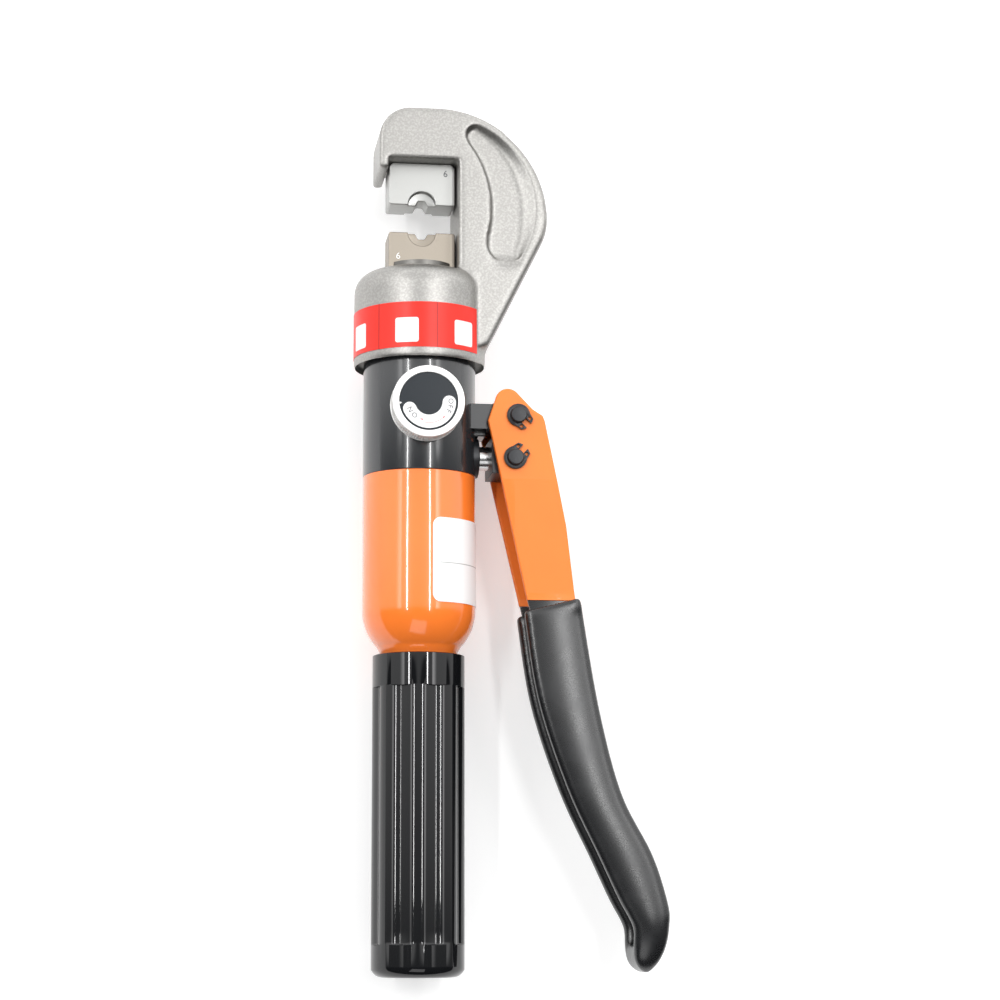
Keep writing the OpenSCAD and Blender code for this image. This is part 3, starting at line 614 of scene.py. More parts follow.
@dataclass(frozen=True)
class RuledLabel(PrintedFilm):
    """White label film with one thin grey rule across it."""

    rule_y: float = 0.1487
    rule_half: float = 0.1 * MM
    rule_from: float = math.radians(15.5)
    rule_cover: float = 0.75
    rule_color: Color = (0.25, 0.25, 0.26)

    def dress(self, shader: Shader) -> None:
        """Works the film and its rule into a shader."""
        super().dress(shader)
        x, y, z = shader.axes()
        line = 1 - abs(y - self.rule_y).fade(self.rule_half, 2 * self.rule_half)
        rule = line * (shader.math("ARCTAN2", x, z) > self.rule_from)
        shader.surfaced(Base_Color=shader.mix(rule * self.rule_cover, self.color, self.rule_color))


@dataclass(frozen=True)
class RedBand(Finish):
    """Red vinyl band with thin dividers and empty white fields, repeated round the collar."""

    gloss: float = 0.3
    radius: float = 24.4 * MM
    pitch: float = math.radians(52.5)
    divider: float = math.radians(9.3)
    divider_half: float = 0.14 * MM
    divider_cover: float = 0.8
    field_half: Span = (4.35 * MM, 4.65 * MM)
    field_y: float = 234.1 * MM
    field_round: float = 0.9 * MM
    field_edge: Span = (0.92, 1.04)
    line_color: Color = (0.30, 0.012, 0.012)
    field_color: Color = (0.9, 0.9, 0.9)
    cloud: float = 8 * MM
    cloud_rough: float = 0.08
    tones: Span = (0.94, 1.04)
    grain: float = 1.1 * MM
    relief: float = 0.0012 * MM

    def dress(self, shader: Shader) -> None:
        """Works the band and its fields into a shader."""
        x, y, z = shader.axes()
        step = (shader.math("ARCTAN2", x, z) - self.divider) / self.pitch
        share = step - shader.math("FLOOR", step, 0.0)
        width = self.radius * self.pitch
        across = abs(share - 0.5) * width
        divider = 1 - (width / 2 - across).fade(self.divider_half, 2 * self.divider_half)
        half_x, half_y = (half - self.field_round for half in self.field_half)
        over_x = shader.math("MAXIMUM", across - half_x, 0.0)
        over_y = shader.math("MAXIMUM", abs(y - self.field_y) - half_y, 0.0)
        corner = shader.math("SQRT", over_x * over_x + over_y * over_y, 0.0)
        blank = 1 - corner.fade(*(edge * self.field_round for edge in self.field_edge))
        cloud = shader.noise(self.cloud)
        red = self.clouded(shader, cloud, self.tones)
        lined = shader.mix(divider * self.divider_cover, red, self.line_color)
        shader.surfaced(
            Base_Color=shader.mix(blank, lined, self.field_color),
            Specular_IOR_Level=self.gloss,
            Roughness=self.rough + cloud * self.cloud_rough,
            Normal=shader.bump(shader.noise(self.grain, detail=1.0), self.relief),
        )


FINISHES: dict[Slot, Finish] = {
    Slot.BLACK_PAINT: GlossPaint("black_gloss", (0.026, 0.028, 0.031), 0.2, nib=(0.2, 0.2, 0.2)),
    Slot.ORANGE_PAINT: GlossPaint("orange_gloss", (0.99, 0.215, 0.03), 0.2, coat=1.0, gloss=0.2),
    Slot.GRIP_PLASTIC: MouldedPlastic("grip_black", (0.006, 0.0065, 0.0075), 0.025, rub=0.02),
    Slot.PLAIN_STEEL: TurnedMetal("turned_steel", (0.55, 0.55, 0.54), 0.34),
    Slot.BRASS: TurnedMetal("turned_brass", (0.72, 0.53, 0.25), 0.3),
    Slot.RUBBER: SoftRubber("seal_rubber", (0.03, 0.03, 0.03), 0.55),
    Slot.HARD_STEEL: TurnedMetal("ground_steel", (0.72, 0.72, 0.72), 0.18),
    Slot.SPRING_STEEL: TurnedMetal("spring_wire", (0.42, 0.42, 0.42), 0.38),
    Slot.LABEL_WHITE: RuledLabel("label_film", (0.93, 0.93, 0.93), 0.32),
    Slot.KNOB_BRIGHT: PlatedSteel(
        "knob_plate", (0.9, 0.9, 0.89), 0.4,
        relief=0.002 * MM, mottle=0.02, dents=0.004 * MM, metal=0.35,
    ),
    Slot.DIAL_BLACK: MouldedPlastic("dial_face", (0.026, 0.031, 0.037), 0.4, gloss=0.22),
    Slot.PLATED_FORGING: PlatedSteel(
        "plated_forging", (0.335, 0.328, 0.314), 0.43,
        grain=0.7 * MM, relief=0.014 * MM, flake=0.45,
    ),
    Slot.LABEL_RED: RedBand("red_film", (0.88, 0.03, 0.018), 0.3),
    Slot.DIE_STEEL: PlatedSteel(
        "die_plate", (0.43, 0.432, 0.42), 0.42,
        relief=0.002 * MM, mottle=0.03, dents=0.008 * MM,
    ),
    Slot.DIE_BRONZED: PlatedSteel(
        "die_tinted", (0.325, 0.29, 0.245), 0.44,
        relief=0.003 * MM, mottle=0.05, dents=0.008 * MM,
    ),
    Slot.WHITE_RING: SoftRubber("white_ring", (0.8, 0.8, 0.76), 0.4),
    Slot.DIPPED_VINYL: DippedVinyl("dipped_vinyl", (0.009, 0.0095, 0.0105), 0.27),
    Slot.BLACK_OXIDE: BlackOxide("black_oxide", (0.022, 0.023, 0.026), 0.36),
}
GREY_INK = PrintedFilm("grey_ink", (0.10, 0.10, 0.11), 0.45)
WHITE_INK = PrintedFilm("white_ink", (0.88, 0.88, 0.88), 0.4)
RED_INK = PrintedFilm("red_ink", (0.75, 0.03, 0.04), 0.4)
LEVER_ENAMEL = GlossPaint(
    "lever_enamel", (0.99, 0.235, 0.032), 0.4, coat=0.05, peel=0.003 * MM, gloss=0.35
)
# Ram steel, darker than bare steel: partly its own dull steel, partly painted shade of the gap
# between the lower die and the collar.
RAM_STEEL_AND_SHADE = TurnedMetal("ram_steel_painted_shade", (0.17, 0.165, 0.155), 0.36)


def clamped(value: float) -> float:
    """A value held between zero and one."""
    return min(1.0, max(0.0, value))


def middle(node: str) -> Vector:
    """The middle of a node's box."""
    low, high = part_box(node)
    return (low + high) / 2


def linked(name: str, data: bpy.types.ID) -> bpy.types.Object:
    """A new object in the scene that holds the data."""
    made = bpy.data.objects.new(name, data)
    bpy.context.scene.collection.objects.link(made)
    return made


def evaluated(holder: bpy.types.Object) -> Mesh:
    """The finished form of a helper object, which is removed with its data."""
    view = bpy.context.evaluated_depsgraph_get()
    fresh = bpy.data.meshes.new_from_object(holder.evaluated_get(view))
    mesh = bmesh.new()
    mesh.from_mesh(fresh)
    bpy.data.batch_remove([holder, holder.data, fresh])
    return mesh


def welded(mesh: Mesh) -> Mesh:
    """The same mesh with its doubles merged."""
    bmesh.ops.remove_doubles(mesh, verts=mesh.verts[:], dist=WELD)
    return mesh


def bevelled(mesh: Mesh, geom: Sequence[Any], width: float, segments: int = 3) -> None:
    """Rounds edges, or corners of a flat face.

    Args:
        mesh: Mesh that is changed in place.
        geom: Edges or vertices to round.
        width: Width of the rounding.
        segments: Number of steps of the rounding.
    """
    corners = all(isinstance(g, bmesh.types.BMVert) for g in geom)
    bmesh.ops.bevel(
        mesh, geom=geom, offset=width, offset_type="OFFSET",
        affect="VERTICES" if corners else "EDGES", segments=segments, profile=0.5,
        clamp_overlap=not corners, material=-1,
    )


def sliced(mesh: Mesh, axis: Axis, level: float, below: bool = False, above: bool = False) -> None:
    """Cuts a mesh across an axis.

    Args:
        mesh: Mesh that is changed in place.
        axis: Axis that the cut is square to.
        level: Place of the cut along the axis.
        below: True to take away what lies before the cut.
        above: True to take away what lies past the cut.
    """
    along = Vector(axis.value)
    bmesh.ops.bisect_plane(
        mesh, geom=mesh.verts[:] + mesh.edges[:] + mesh.faces[:], dist=WELD,
        plane_co=along * level, plane_no=along, clear_inner=below, clear_outer=above,
    )


def swell(mesh: Mesh, by: float) -> None:
    """Moves the surface of a mesh outwards, or inwards by less than zero."""
    mesh.normal_update()
    for vert, shift in [(v, v.normal * by) for v in mesh.verts]:
        vert.co += shift


def cad_copy(node: str) -> Mesh:
    """A merged copy of a node of the frame."""
    mesh = bmesh.new()
    mesh.from_mesh(frame["nodes"][node].data)
    return welded(mesh)


def softened(
    node: str,
    width: float,
    weld: float,
    chosen: Callable[[bmesh.types.BMEdge], bool] = lambda edge: True,
    sharp: float = math.radians(35),
) -> Mesh:
    """A copy of a node with rounded edges.

    Args:
        node: Node to copy.
        width: Width of the rounding.
        weld: Length under which an edge is taken up by its neighbours.
        chosen: Test that picks the edges to round.
        sharp: Least angle between the faces of a rounded edge.

    Returns:
        The rounded copy.
    """
    mesh = cad_copy(node)
    bmesh.ops.dissolve_limit(mesh, angle_limit=FLAT, verts=mesh.verts[:], edges=mesh.edges[:])
    bmesh.ops.dissolve_degenerate(mesh, dist=weld, edges=mesh.edges[:])
    edges = [e for e in mesh.edges if e.is_manifold and e.calc_face_angle() > sharp and chosen(e)]
    bevelled(mesh, edges, width)
    return mesh


def remeshed(mesh: Mesh, voxel: float) -> Mesh:
    """The same closed form rebuilt from even small quads.

    Args:
        mesh: Closed form, freed here.
        voxel: Size of a quad.

    Returns:
        The rebuilt form.
    """
    data = bpy.data.meshes.new("blank")
    mesh.to_mesh(data)
    mesh.free()
    blank = linked("blank", data)
    skin = blank.modifiers.new("skin", "REMESH")
    skin.mode = "VOXEL"
    skin.voxel_size = voxel
    return evaluated(blank)


def relax(mesh: Mesh, rounds: int, chosen: Callable[[Vector], bool] = lambda point: True) -> None:
    """Rounds off the chosen part of an even mesh.

    Args:
        mesh: Mesh to smooth in place.
        rounds: Number of smoothing passes.
        chosen: Test on a vertex's place.
    """
    verts = [v for v in mesh.verts if chosen(v.co)]
    for _ in range(rounds):
        bmesh.ops.smooth_vert(
            mesh, verts=verts, factor=0.5, use_axis_x=True, use_axis_y=True, use_axis_z=True
        )


@dataclass(frozen=True)
class Corner:
    """Corner of a turned profile: radius, place along the axis, and rounding."""

    r: float
    t: float
    round: float = 0.0


def lathe(corners: Sequence[Corner], axis: Axis, centre: Sequence[float], steps: int) -> Mesh:
    """Turns a closed profile into a ring or a solid of revolution.

    Args:
        corners: Profile in order; corners on the axis have a radius of zero.
        axis: Axis of the spin.
        centre: Point of the axis that t is counted from.
        steps: Number of sides.

    Returns:
        The closed turned form, facing outwards.
    """
    mesh = bmesh.new()
    along = Vector(axis.value)
    out = Vector(Axis.X.value)
    verts = [mesh.verts.new(out * c.r + along * c.t) for c in corners]
    mesh.faces.new(verts)
    for vert, corner in zip(verts, corners):
        if corner.round:
            bevelled(mesh, [vert], corner.round, segments=5)
    bmesh.ops.delete(mesh, geom=mesh.faces[:], context="FACES_ONLY")
    for edge in [e for e in mesh.edges if all(v.co.dot(out) < WELD for v in e.verts)]:
        mesh.edges.remove(edge)
    bmesh.ops.spin(
        mesh, geom=mesh.verts[:] + mesh.edges[:], cent=(0, 0, 0), axis=along, angle=FULL_TURN,
        steps=steps, use_merge=True, use_duplicate=False,
    )
    welded(mesh)
    bmesh.ops.recalc_face_normals(mesh, faces=mesh.faces[:])
    bmesh.ops.translate(mesh, verts=mesh.verts[:], vec=Vector(centre))
    return mesh


def plate(outline: Sequence[Vector], thick: float) -> Mesh:
    """A flat plate: an outline drawn through its points and raised towards the knob side.

    Args:
        outline: Points of the outline in order.
        thick: Thickness of the plate.

    Returns:
        The closed plate.
    """
    mesh = bmesh.new()
    face = mesh.faces.new([mesh.verts.new(point) for point in outline])
    grown = bmesh.ops.extrude_face_region(mesh, geom=[face])["geom"]
    moved = [g for g in grown if isinstance(g, bmesh.types.BMVert)]
    bmesh.ops.translate(mesh, verts=moved, vec=(0, 0, thick))
    bmesh.ops.recalc_face_normals(mesh, faces=mesh.faces[:])
    return mesh


def lettering(text: str, size: float, place: Matrix, depth: float) -> Mesh:
    """Plain characters as a thin closed mesh.

    Args:
        text: Characters to draw.
        size: Height of the font.
        place: Turn and place of the middle of the text.
        depth: Thickness of the characters.

    Returns:
        The characters in place.
    """
    curve = bpy.data.curves.new("lettering", "FONT")
    curve.body = text
    curve.size = size
    curve.extrude = depth / 2
    curve.resolution_u = 3
    curve.align_x = "CENTER"
    curve.align_y = "CENTER"
    mesh = welded(evaluated(linked("lettering", curve)))
    bmesh.ops.transform(mesh, matrix=place, verts=mesh.verts[:])
    return mesh


def stamped(
    loops: Sequence[Sequence[Span]], thick: float, edge: float, place: Matrix
) -> Mesh:
    """A flat stamping with holes and rounded edges.

    Args:
        loops: Outline, then the holes.
        thick: Thickness of the sheet.
        edge: Rounding of its edges.
        place: Turn and place of its middle.

    Returns:
        The stamping in place.
    """
    curve = bpy.data.curves.new("stamping", "CURVE")
    curve.dimensions = "2D"
    curve.fill_mode = "BOTH"
    curve.extrude = thick / 2 - edge
    curve.bevel_depth = edge
    curve.bevel_resolution = 1
    curve.offset = -edge
    for loop in loops:
        line = curve.splines.new("POLY")
        line.points.add(len(loop) - 1)
        for point, (x, y) in zip(line.points, loop):
            point.co = (x, y, 0, 1)
        line.use_cyclic_u = True
    mesh = welded(evaluated(linked("stamping", curve)))
    bmesh.ops.recalc_face_normals(mesh, faces=mesh.faces[:])
    bmesh.ops.transform(mesh, matrix=place, verts=mesh.verts[:])
    return mesh


def joined(meshes: Sequence[Mesh]) -> Mesh:
    """Several meshes as one; the single ones are freed."""
    whole = bmesh.new()
    for mesh in meshes:
        data = bpy.data.meshes.new("joined")
        mesh.to_mesh(data)
        mesh.free()
        whole.from_mesh(data)
        bpy.data.meshes.remove(data)
    return whole


class Bench:
    """Dresses the frame's nodes and turns finished meshes into pieces of the part."""

    def __init__(self) -> None:
        """Makes the materials of all slots."""
        self.materials = {slot: finish.material() for slot, finish in FINISHES.items()}
        self.own: dict[Finish, bpy.types.Material] = {}

    def own_material(self, finish: Finish) -> bpy.types.Material:
        """The material of a finish that no slot has, made once."""
        if finish not in self.own:
            self.own[finish] = finish.material()
        return self.own[finish]

    def dress_nodes(self) -> None:
        """Gives each node of the frame the material of its slot."""
        for part in frame["record"]["subparts"]:
            node = frame["nodes"][part["node"]]
            node.data.materials.clear()
            node.data.materials.append(self.materials[Slot(part["material_slot"])])
        # The ram gets the darker steel, which holds painted shade of the gap under the lower die.
        frame["nodes"]["ram"].data.materials[0] = self.own_material(RAM_STEEL_AND_SHADE)

    def piece(
        self,
        name: str,
        mesh: Mesh,
        slot: Slot,
        rider: Rider,
        replaces: Sequence[str] = (),
        own: Finish | None = None,
        crease: float = math.radians(32),
        flat: float = math.inf,
    ) -> bpy.types.Object:
        """Makes a piece from a finished mesh.

        Args:
            name: Name of the piece.
            mesh: Its mesh, freed here.
            slot: Material slot of the record.
            rider: Body that carries it.
            replaces: Nodes that it stands for.
            own: Finish that covers it instead of the slot's own.
            crease: Angle past which an edge stays sharp.
            flat: Area past which a face is shaded flat.

        Returns:
            The new object.
        """
        data = bpy.data.meshes.new(name)
        mesh.to_mesh(data)
        mesh.free()
        for layer in [a.name for a in data.attributes if a.name == "custom_normal"]:
            data.attributes.remove(data.attributes[layer])
        data.shade_smooth()
        data.set_sharp_from_angle(angle=crease)
        for side in data.polygons:
            if side.area > flat:
                side.use_smooth = False
        data.materials.clear()
        data.materials.append(self.own_material(own) if own else self.materials[slot])
        made = linked(name, data)
        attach(made, rider.value)
        if replaces:
            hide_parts(*replaces)
        LOG.info("%s: %d faces, rides on %s", name, len(data.polygons), rider.value)
        return made


@dataclass
class Head:
    """Forged C frame with its collar."""

    voxel: float = 0.66 * MM
    edge_rounds: int = 5
    flank_rounds: int = 18
    fillet_rounds: int = 45
    flank_reach: float = 3.2 * MM
    flank_x: float = 17 * MM
    top_clear: float = 9 * MM
    fillet_reach: float = 4.5 * MM
    bin: float = 1 * MM
    collar_top: float = 260.8 * MM
    pocket_depth: float = 3 * MM
    pocket_seen: float = 2.3 * MM
    pocket_fillet: Span = (0.6 * MM, 5.2 * MM)
    pocket_turn: Span = (1.5, 0.4)
    pocket_bow: float = 1.15
    floor_tilt: float = 0.7
    skirt_y: float = 228.6 * MM
    skirt_r: float = 24.2 * MM
    rim_step: float = 0.25 * MM
    rim_slack: float = 0.3 * MM
    wall_tilt: float = 0.1
    crease: float = math.radians(60)

    def build(self, bench: Bench) -> None:
        """Makes the forged frame with its soft outer edge.

        Args:
            bench: Bench that dresses the piece.
        """
        mesh = remeshed(cad_copy("head_frame"), self.voxel)
        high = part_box("head_frame")[1]
        reach: dict[int, float] = {}
        for vert in mesh.verts:
            row = round(vert.co.y / self.bin)
            reach[row] = max(reach.get(row, 0.0), vert.co.x)
        face = max(v.co.z for v in mesh.verts if v.co.y > self.collar_top + self.flank_reach)

        def flank(point: Vector) -> bool:
            """True near the outer rim of the right flank."""
            near = point.x > reach[round(point.y / self.bin)] - self.flank_reach
            return near and point.x > self.flank_x and point.y < high.y - self.top_clear

        def fillet(point: Vector) -> bool:
            """True where the frame grows out of the collar."""
            close = abs(point.y - self.collar_top) < self.fillet_reach and not flank(point)
            return close and point.x > self.flank_x and abs(point.z) < face + self.fillet_reach

        self.fill_pockets(mesh, face)
        for vert in mesh.verts:
            radius = math.hypot(vert.co.x, vert.co.z)
            if vert.co.y < self.skirt_y and radius < self.skirt_r:
                vert.co.x *= self.skirt_r / radius
                vert.co.z *= self.skirt_r / radius
        relax(mesh, self.flank_rounds, flank)
        relax(mesh, self.fillet_rounds, fillet)
        relax(mesh, self.edge_rounds)
        bench.piece(
            "c_frame", mesh, Slot.PLATED_FORGING, Rider.HEAD, ["head_frame"], crease=self.crease
        )

    def pocket_rim(self, face: float) -> list[tuple[Vector, Vector]]:
        """Points along the rim of the front pocket, each with the direction into the pocket.

        Args:
            face: Height of the flat of the frame.

        Returns:
            The points and directions, level with the origin.
        """
        mesh = cad_copy("head_frame")
        floor = face - self.pocket_depth
        rim = []
        for wall in mesh.faces:
            deep = any(v.co.z < floor - self.rim_slack for v in wall.verts)
            if deep or abs(wall.normal.z) > self.wall_tilt:
                continue
            for edge in wall.edges:
                start, end = (v.co.copy() for v in edge.verts)
                if min(start.z, end.z) < face - self.rim_slack or start.y < self.collar_top:
                    continue
                steps = max(1, round((end - start).length / self.rim_step))
                for step in range(steps):
                    spot = start.lerp(end, step / steps)
                    rim.append((Vector((spot.x, spot.y, 0)), wall.normal.copy()))
        mesh.free()
        return rim

    def fill_pockets(self, mesh: Mesh, face: float) -> None:
        """Raises the floor of both pockets and slopes their walls.

        Args:
            mesh: Even mesh of the frame, changed in place.
            face: Height of the flat of the frame.
        """
        rim = self.pocket_rim(face)
        mesh.normal_update()
        tree = KDTree(len(rim))
        for index, (spot, _) in enumerate(rim):
            tree.insert(spot, index)
        tree.balance()
        floor = face - self.pocket_depth
        tight, wide = self.pocket_fillet
        gain, start = self.pocket_turn
        moved = []
        for vert in mesh.verts:
            if not floor - self.rim_slack < abs(vert.co.z) < face - WELD:
                continue
            flat = Vector((vert.co.x, vert.co.y, 0))
            spot, index, away = tree.find(flat)
            inward = rim[index][1]
            turned = clamped(-gain * inward.x - start - max(0.0, inward.y))
            size = tight + (wide - tight) * turned
            inside = (flat - spot).dot(inward)
            wall = away > size and abs(vert.normal.z) < self.floor_tilt
            if inside < -self.rim_slack or wall:
                continue
            slope = 1 - min(max(inside, 0.0), size) / size
            level = face - self.pocket_seen * (1 - slope**self.pocket_bow)
            vert.co.z = math.copysign(max(abs(vert.co.z), level), vert.co.z)
            moved.append(vert)
        bmesh.ops.remove_doubles(mesh, verts=moved, dist=self.rim_slack / 2)


@dataclass
class Dies:
    """Upper and lower crimping dies with rounded edges and a plain number each."""

    edge: float = 0.5 * MM
    weld: float = 0.2 * MM
    flat: float = 40 * MM**2
    number: str = "6"
    number_size: float = 3.6 * MM
    upper_inset: Span = (3.6 * MM, 3.9 * MM)
    lower_inset: Span = (3.6 * MM, 9.36 * MM)
    ink_depth: float = 0.08 * MM

    def build(self, bench: Bench) -> None:
        """Makes both dies and their numbers.

        Args:
            bench: Bench that dresses the pieces.
        """
        for node, slot, rider in (
            ("upper_die", Slot.DIE_STEEL, Rider.HEAD),
            ("lower_die", Slot.DIE_BRONZED, Rider.RAM),
        ):
            mesh = softened(node, self.edge, self.weld)
            bench.piece(f"{node}_block", mesh, slot, rider, [node], flat=self.flat)
        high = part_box("upper_die")[1]
        right = Vector((high.x - self.upper_inset[0], high.y - self.upper_inset[1], high.z))
        number = self.digit(right)
        bench.piece("upper_die_number", number, Slot.DIE_STEEL, Rider.HEAD, own=GREY_INK)
        low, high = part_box("lower_die")
        left = Vector((low.x + self.lower_inset[0], high.y - self.lower_inset[1], high.z))
        number = self.digit(left)
        bench.piece("lower_die_number", number, Slot.DIE_BRONZED, Rider.RAM, own=WHITE_INK)

    def digit(self, place: Vector) -> Mesh:
        """The number, laid on a die face at a place."""
        return lettering(self.number, self.number_size, Matrix.Translation(place), self.ink_depth)


@dataclass
class Barrel:
    """Black pump body, orange reservoir with its blank label, and the white tick at the knob."""

    seam_round: float = 0.35 * MM
    dome_steps: int = 24
    dome: Span = (5.4 * MM, 13.5 * MM)
    neck_l: float = 3 * MM
    neck_taper: float = 1.6 * MM
    neck_round: float = 0.6 * MM
    shell_wall: float = 2.4 * MM
    sides: int = 256
    body_edge: float = 0.45 * MM
    body_weld: float = 0.15 * MM
    lug_flat: float = 90 * MM**2
    # Size of the black block of painted shade under the lug.
    shadow_block_x: Span = (18.5 * MM, 24.5 * MM)
    shadow_block_half: float = 6 * MM
    shadow_block_flat: float = 10 * MM**2
    label_round: float = 3 * MM
    label_rows: int = 40
    label_segments: int = 8
    label_t: float = 0.2 * MM
    tick_turn: float = math.radians(4.75)
    tick: Triple = (0.42 * MM, 1.5 * MM, 0.05 * MM)
    tick_y: float = 222.2 * MM

    def build(self, bench: Bench) -> None:
        """Makes the shell, the label, the tick and a black block of painted shade under the lug,
        and rounds the lug of the body.

        Args:
            bench: Bench that dresses the pieces.
        """
        bench.piece("reservoir", self.shell(), Slot.ORANGE_PAINT, Rider.BODY, ["reservoir_shell"])
        bench.piece("side_film", self.label(), Slot.LABEL_WHITE, Rider.BODY, ["side_label"])
        bench.piece(
            "pump_block", self.block(), Slot.BLACK_PAINT, Rider.BODY, ["pump_body"],
            flat=self.lug_flat,
        )
        bench.piece("index_tick", self.mark(), Slot.LABEL_WHITE, Rider.BODY, own=WHITE_INK)
        # Painted shade: a black block that fills the shaded space under the lug.
        bench.piece("lug_shadow_block", self.shadow_block(), Slot.BLACK_PAINT, Rider.BODY, flat=self.shadow_block_flat)

    def shell(self) -> Mesh:
        """The reservoir shell, whose rounded end turns in to a short tapered neck."""
        low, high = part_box("reservoir_shell")
        outer, (step, rise) = high.x, self.dome
        bend = (step**2 + rise**2) / (2 * step)
        shoulder = low.y + self.neck_l + rise
        swing = math.asin(rise / bend)
        corners = [
            Corner(outer - step - self.neck_taper - self.shell_wall, low.y),
            Corner(outer - step - self.neck_taper, low.y),
            Corner(outer - step, low.y + self.neck_l, self.neck_round),
        ]
        for part in range(1, self.dome_steps + 1):
            angle = swing * (1 - part / self.dome_steps)
            radius = outer - bend + bend * math.cos(angle)
            corners.append(Corner(radius, shoulder - bend * math.sin(angle)))
        corners += [
            Corner(outer, high.y, self.seam_round),
            Corner(outer - self.shell_wall, high.y),
            Corner(outer - self.shell_wall, shoulder),
            Corner(outer - step - self.neck_taper - self.shell_wall, low.y + self.neck_l),
        ]
        return lathe(corners, Axis.Y, (0, 0, 0), self.sides)

    def block(self) -> Mesh:
        """The pump body with a rounded lug and rims."""
        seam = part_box("reservoir_shell")[1]

        def outside(edge: bmesh.types.BMEdge) -> bool:
            """True on the lug outside the barrel and on the seam's rim."""
            lug = all(v.co.x > seam.x + self.body_edge for v in edge.verts)
            rim = all(abs(v.co.y - seam.y) < WELD for v in edge.verts)
            return lug or rim

        return softened("pump_body", self.body_edge, self.body_weld, outside)

    def shadow_block(self) -> Mesh:
        """A black block under the lug, down to the gland: painted shade that darkens the space
        below the lug.
        """
        top, foot = middle("pivot_pin").y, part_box("pump_gland")[1].y
        left, right = self.shadow_block_x
        size = Vector((right - left, top - foot, 2 * self.shadow_block_half))
        mesh = bmesh.new()
        bmesh.ops.create_cube(mesh, size=1.0, matrix=Matrix.Diagonal((*size, 1)))
        spot = ((left + right) / 2, (top + foot) / 2, 0)
        bmesh.ops.translate(mesh, verts=mesh.verts[:], vec=spot)
        bevelled(mesh, mesh.edges[:], self.body_edge)
        return mesh

    def label(self) -> Mesh:
        """The blank label, rounded at its corners and wrapped round the barrel."""
        low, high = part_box("side_label")
        radius = high.x
        start = math.atan2(low.x, high.z)
        turn = math.atan2(math.sqrt(max(radius**2 - low.z**2, 0.0)), low.z)
        width = radius * (turn - start)
        mesh = bmesh.new()
        corners = ((0, low.y), (width, low.y), (width, high.y), (0, high.y))
        mesh.faces.new([mesh.verts.new((x, y, 0)) for x, y in corners])
        bevelled(mesh, mesh.verts[:], self.label_round, self.label_segments)
        for row in range(1, self.label_rows):
            sliced(mesh, Axis.X, width * row / self.label_rows)
        for vert in mesh.verts:
            angle = start + vert.co.x / radius
            vert.co = Vector((radius * math.sin(angle), vert.co.y, radius * math.cos(angle)))
        bmesh.ops.recalc_face_normals(mesh, faces=mesh.faces[:])
        first = mesh.faces[:][0]
        spot = first.calc_center_median()
        if first.normal.dot(Vector((spot.x, 0, spot.z))) < 0:
            bmesh.ops.reverse_faces(mesh, faces=mesh.faces[:])
        bmesh.ops.solidify(mesh, geom=mesh.faces[:], thickness=self.label_t)
        return mesh

    def mark(self) -> Mesh:
        """The white tick above the knob."""
        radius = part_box("reservoir_shell")[1].x
        wide, tall, thick = self.tick
        mesh = bmesh.new()
        bmesh.ops.create_cube(mesh, size=1.0, matrix=Matrix.Diagonal((wide, tall, 2 * thick, 1)))
        bmesh.ops.translate(mesh, verts=mesh.verts[:], vec=(0, self.tick_y, radius))
        turn = Matrix.Rotation(self.tick_turn, 3, "Y")
        bmesh.ops.rotate(mesh, verts=mesh.verts[:], cent=(0, 0, 0), matrix=turn)
        return mesh


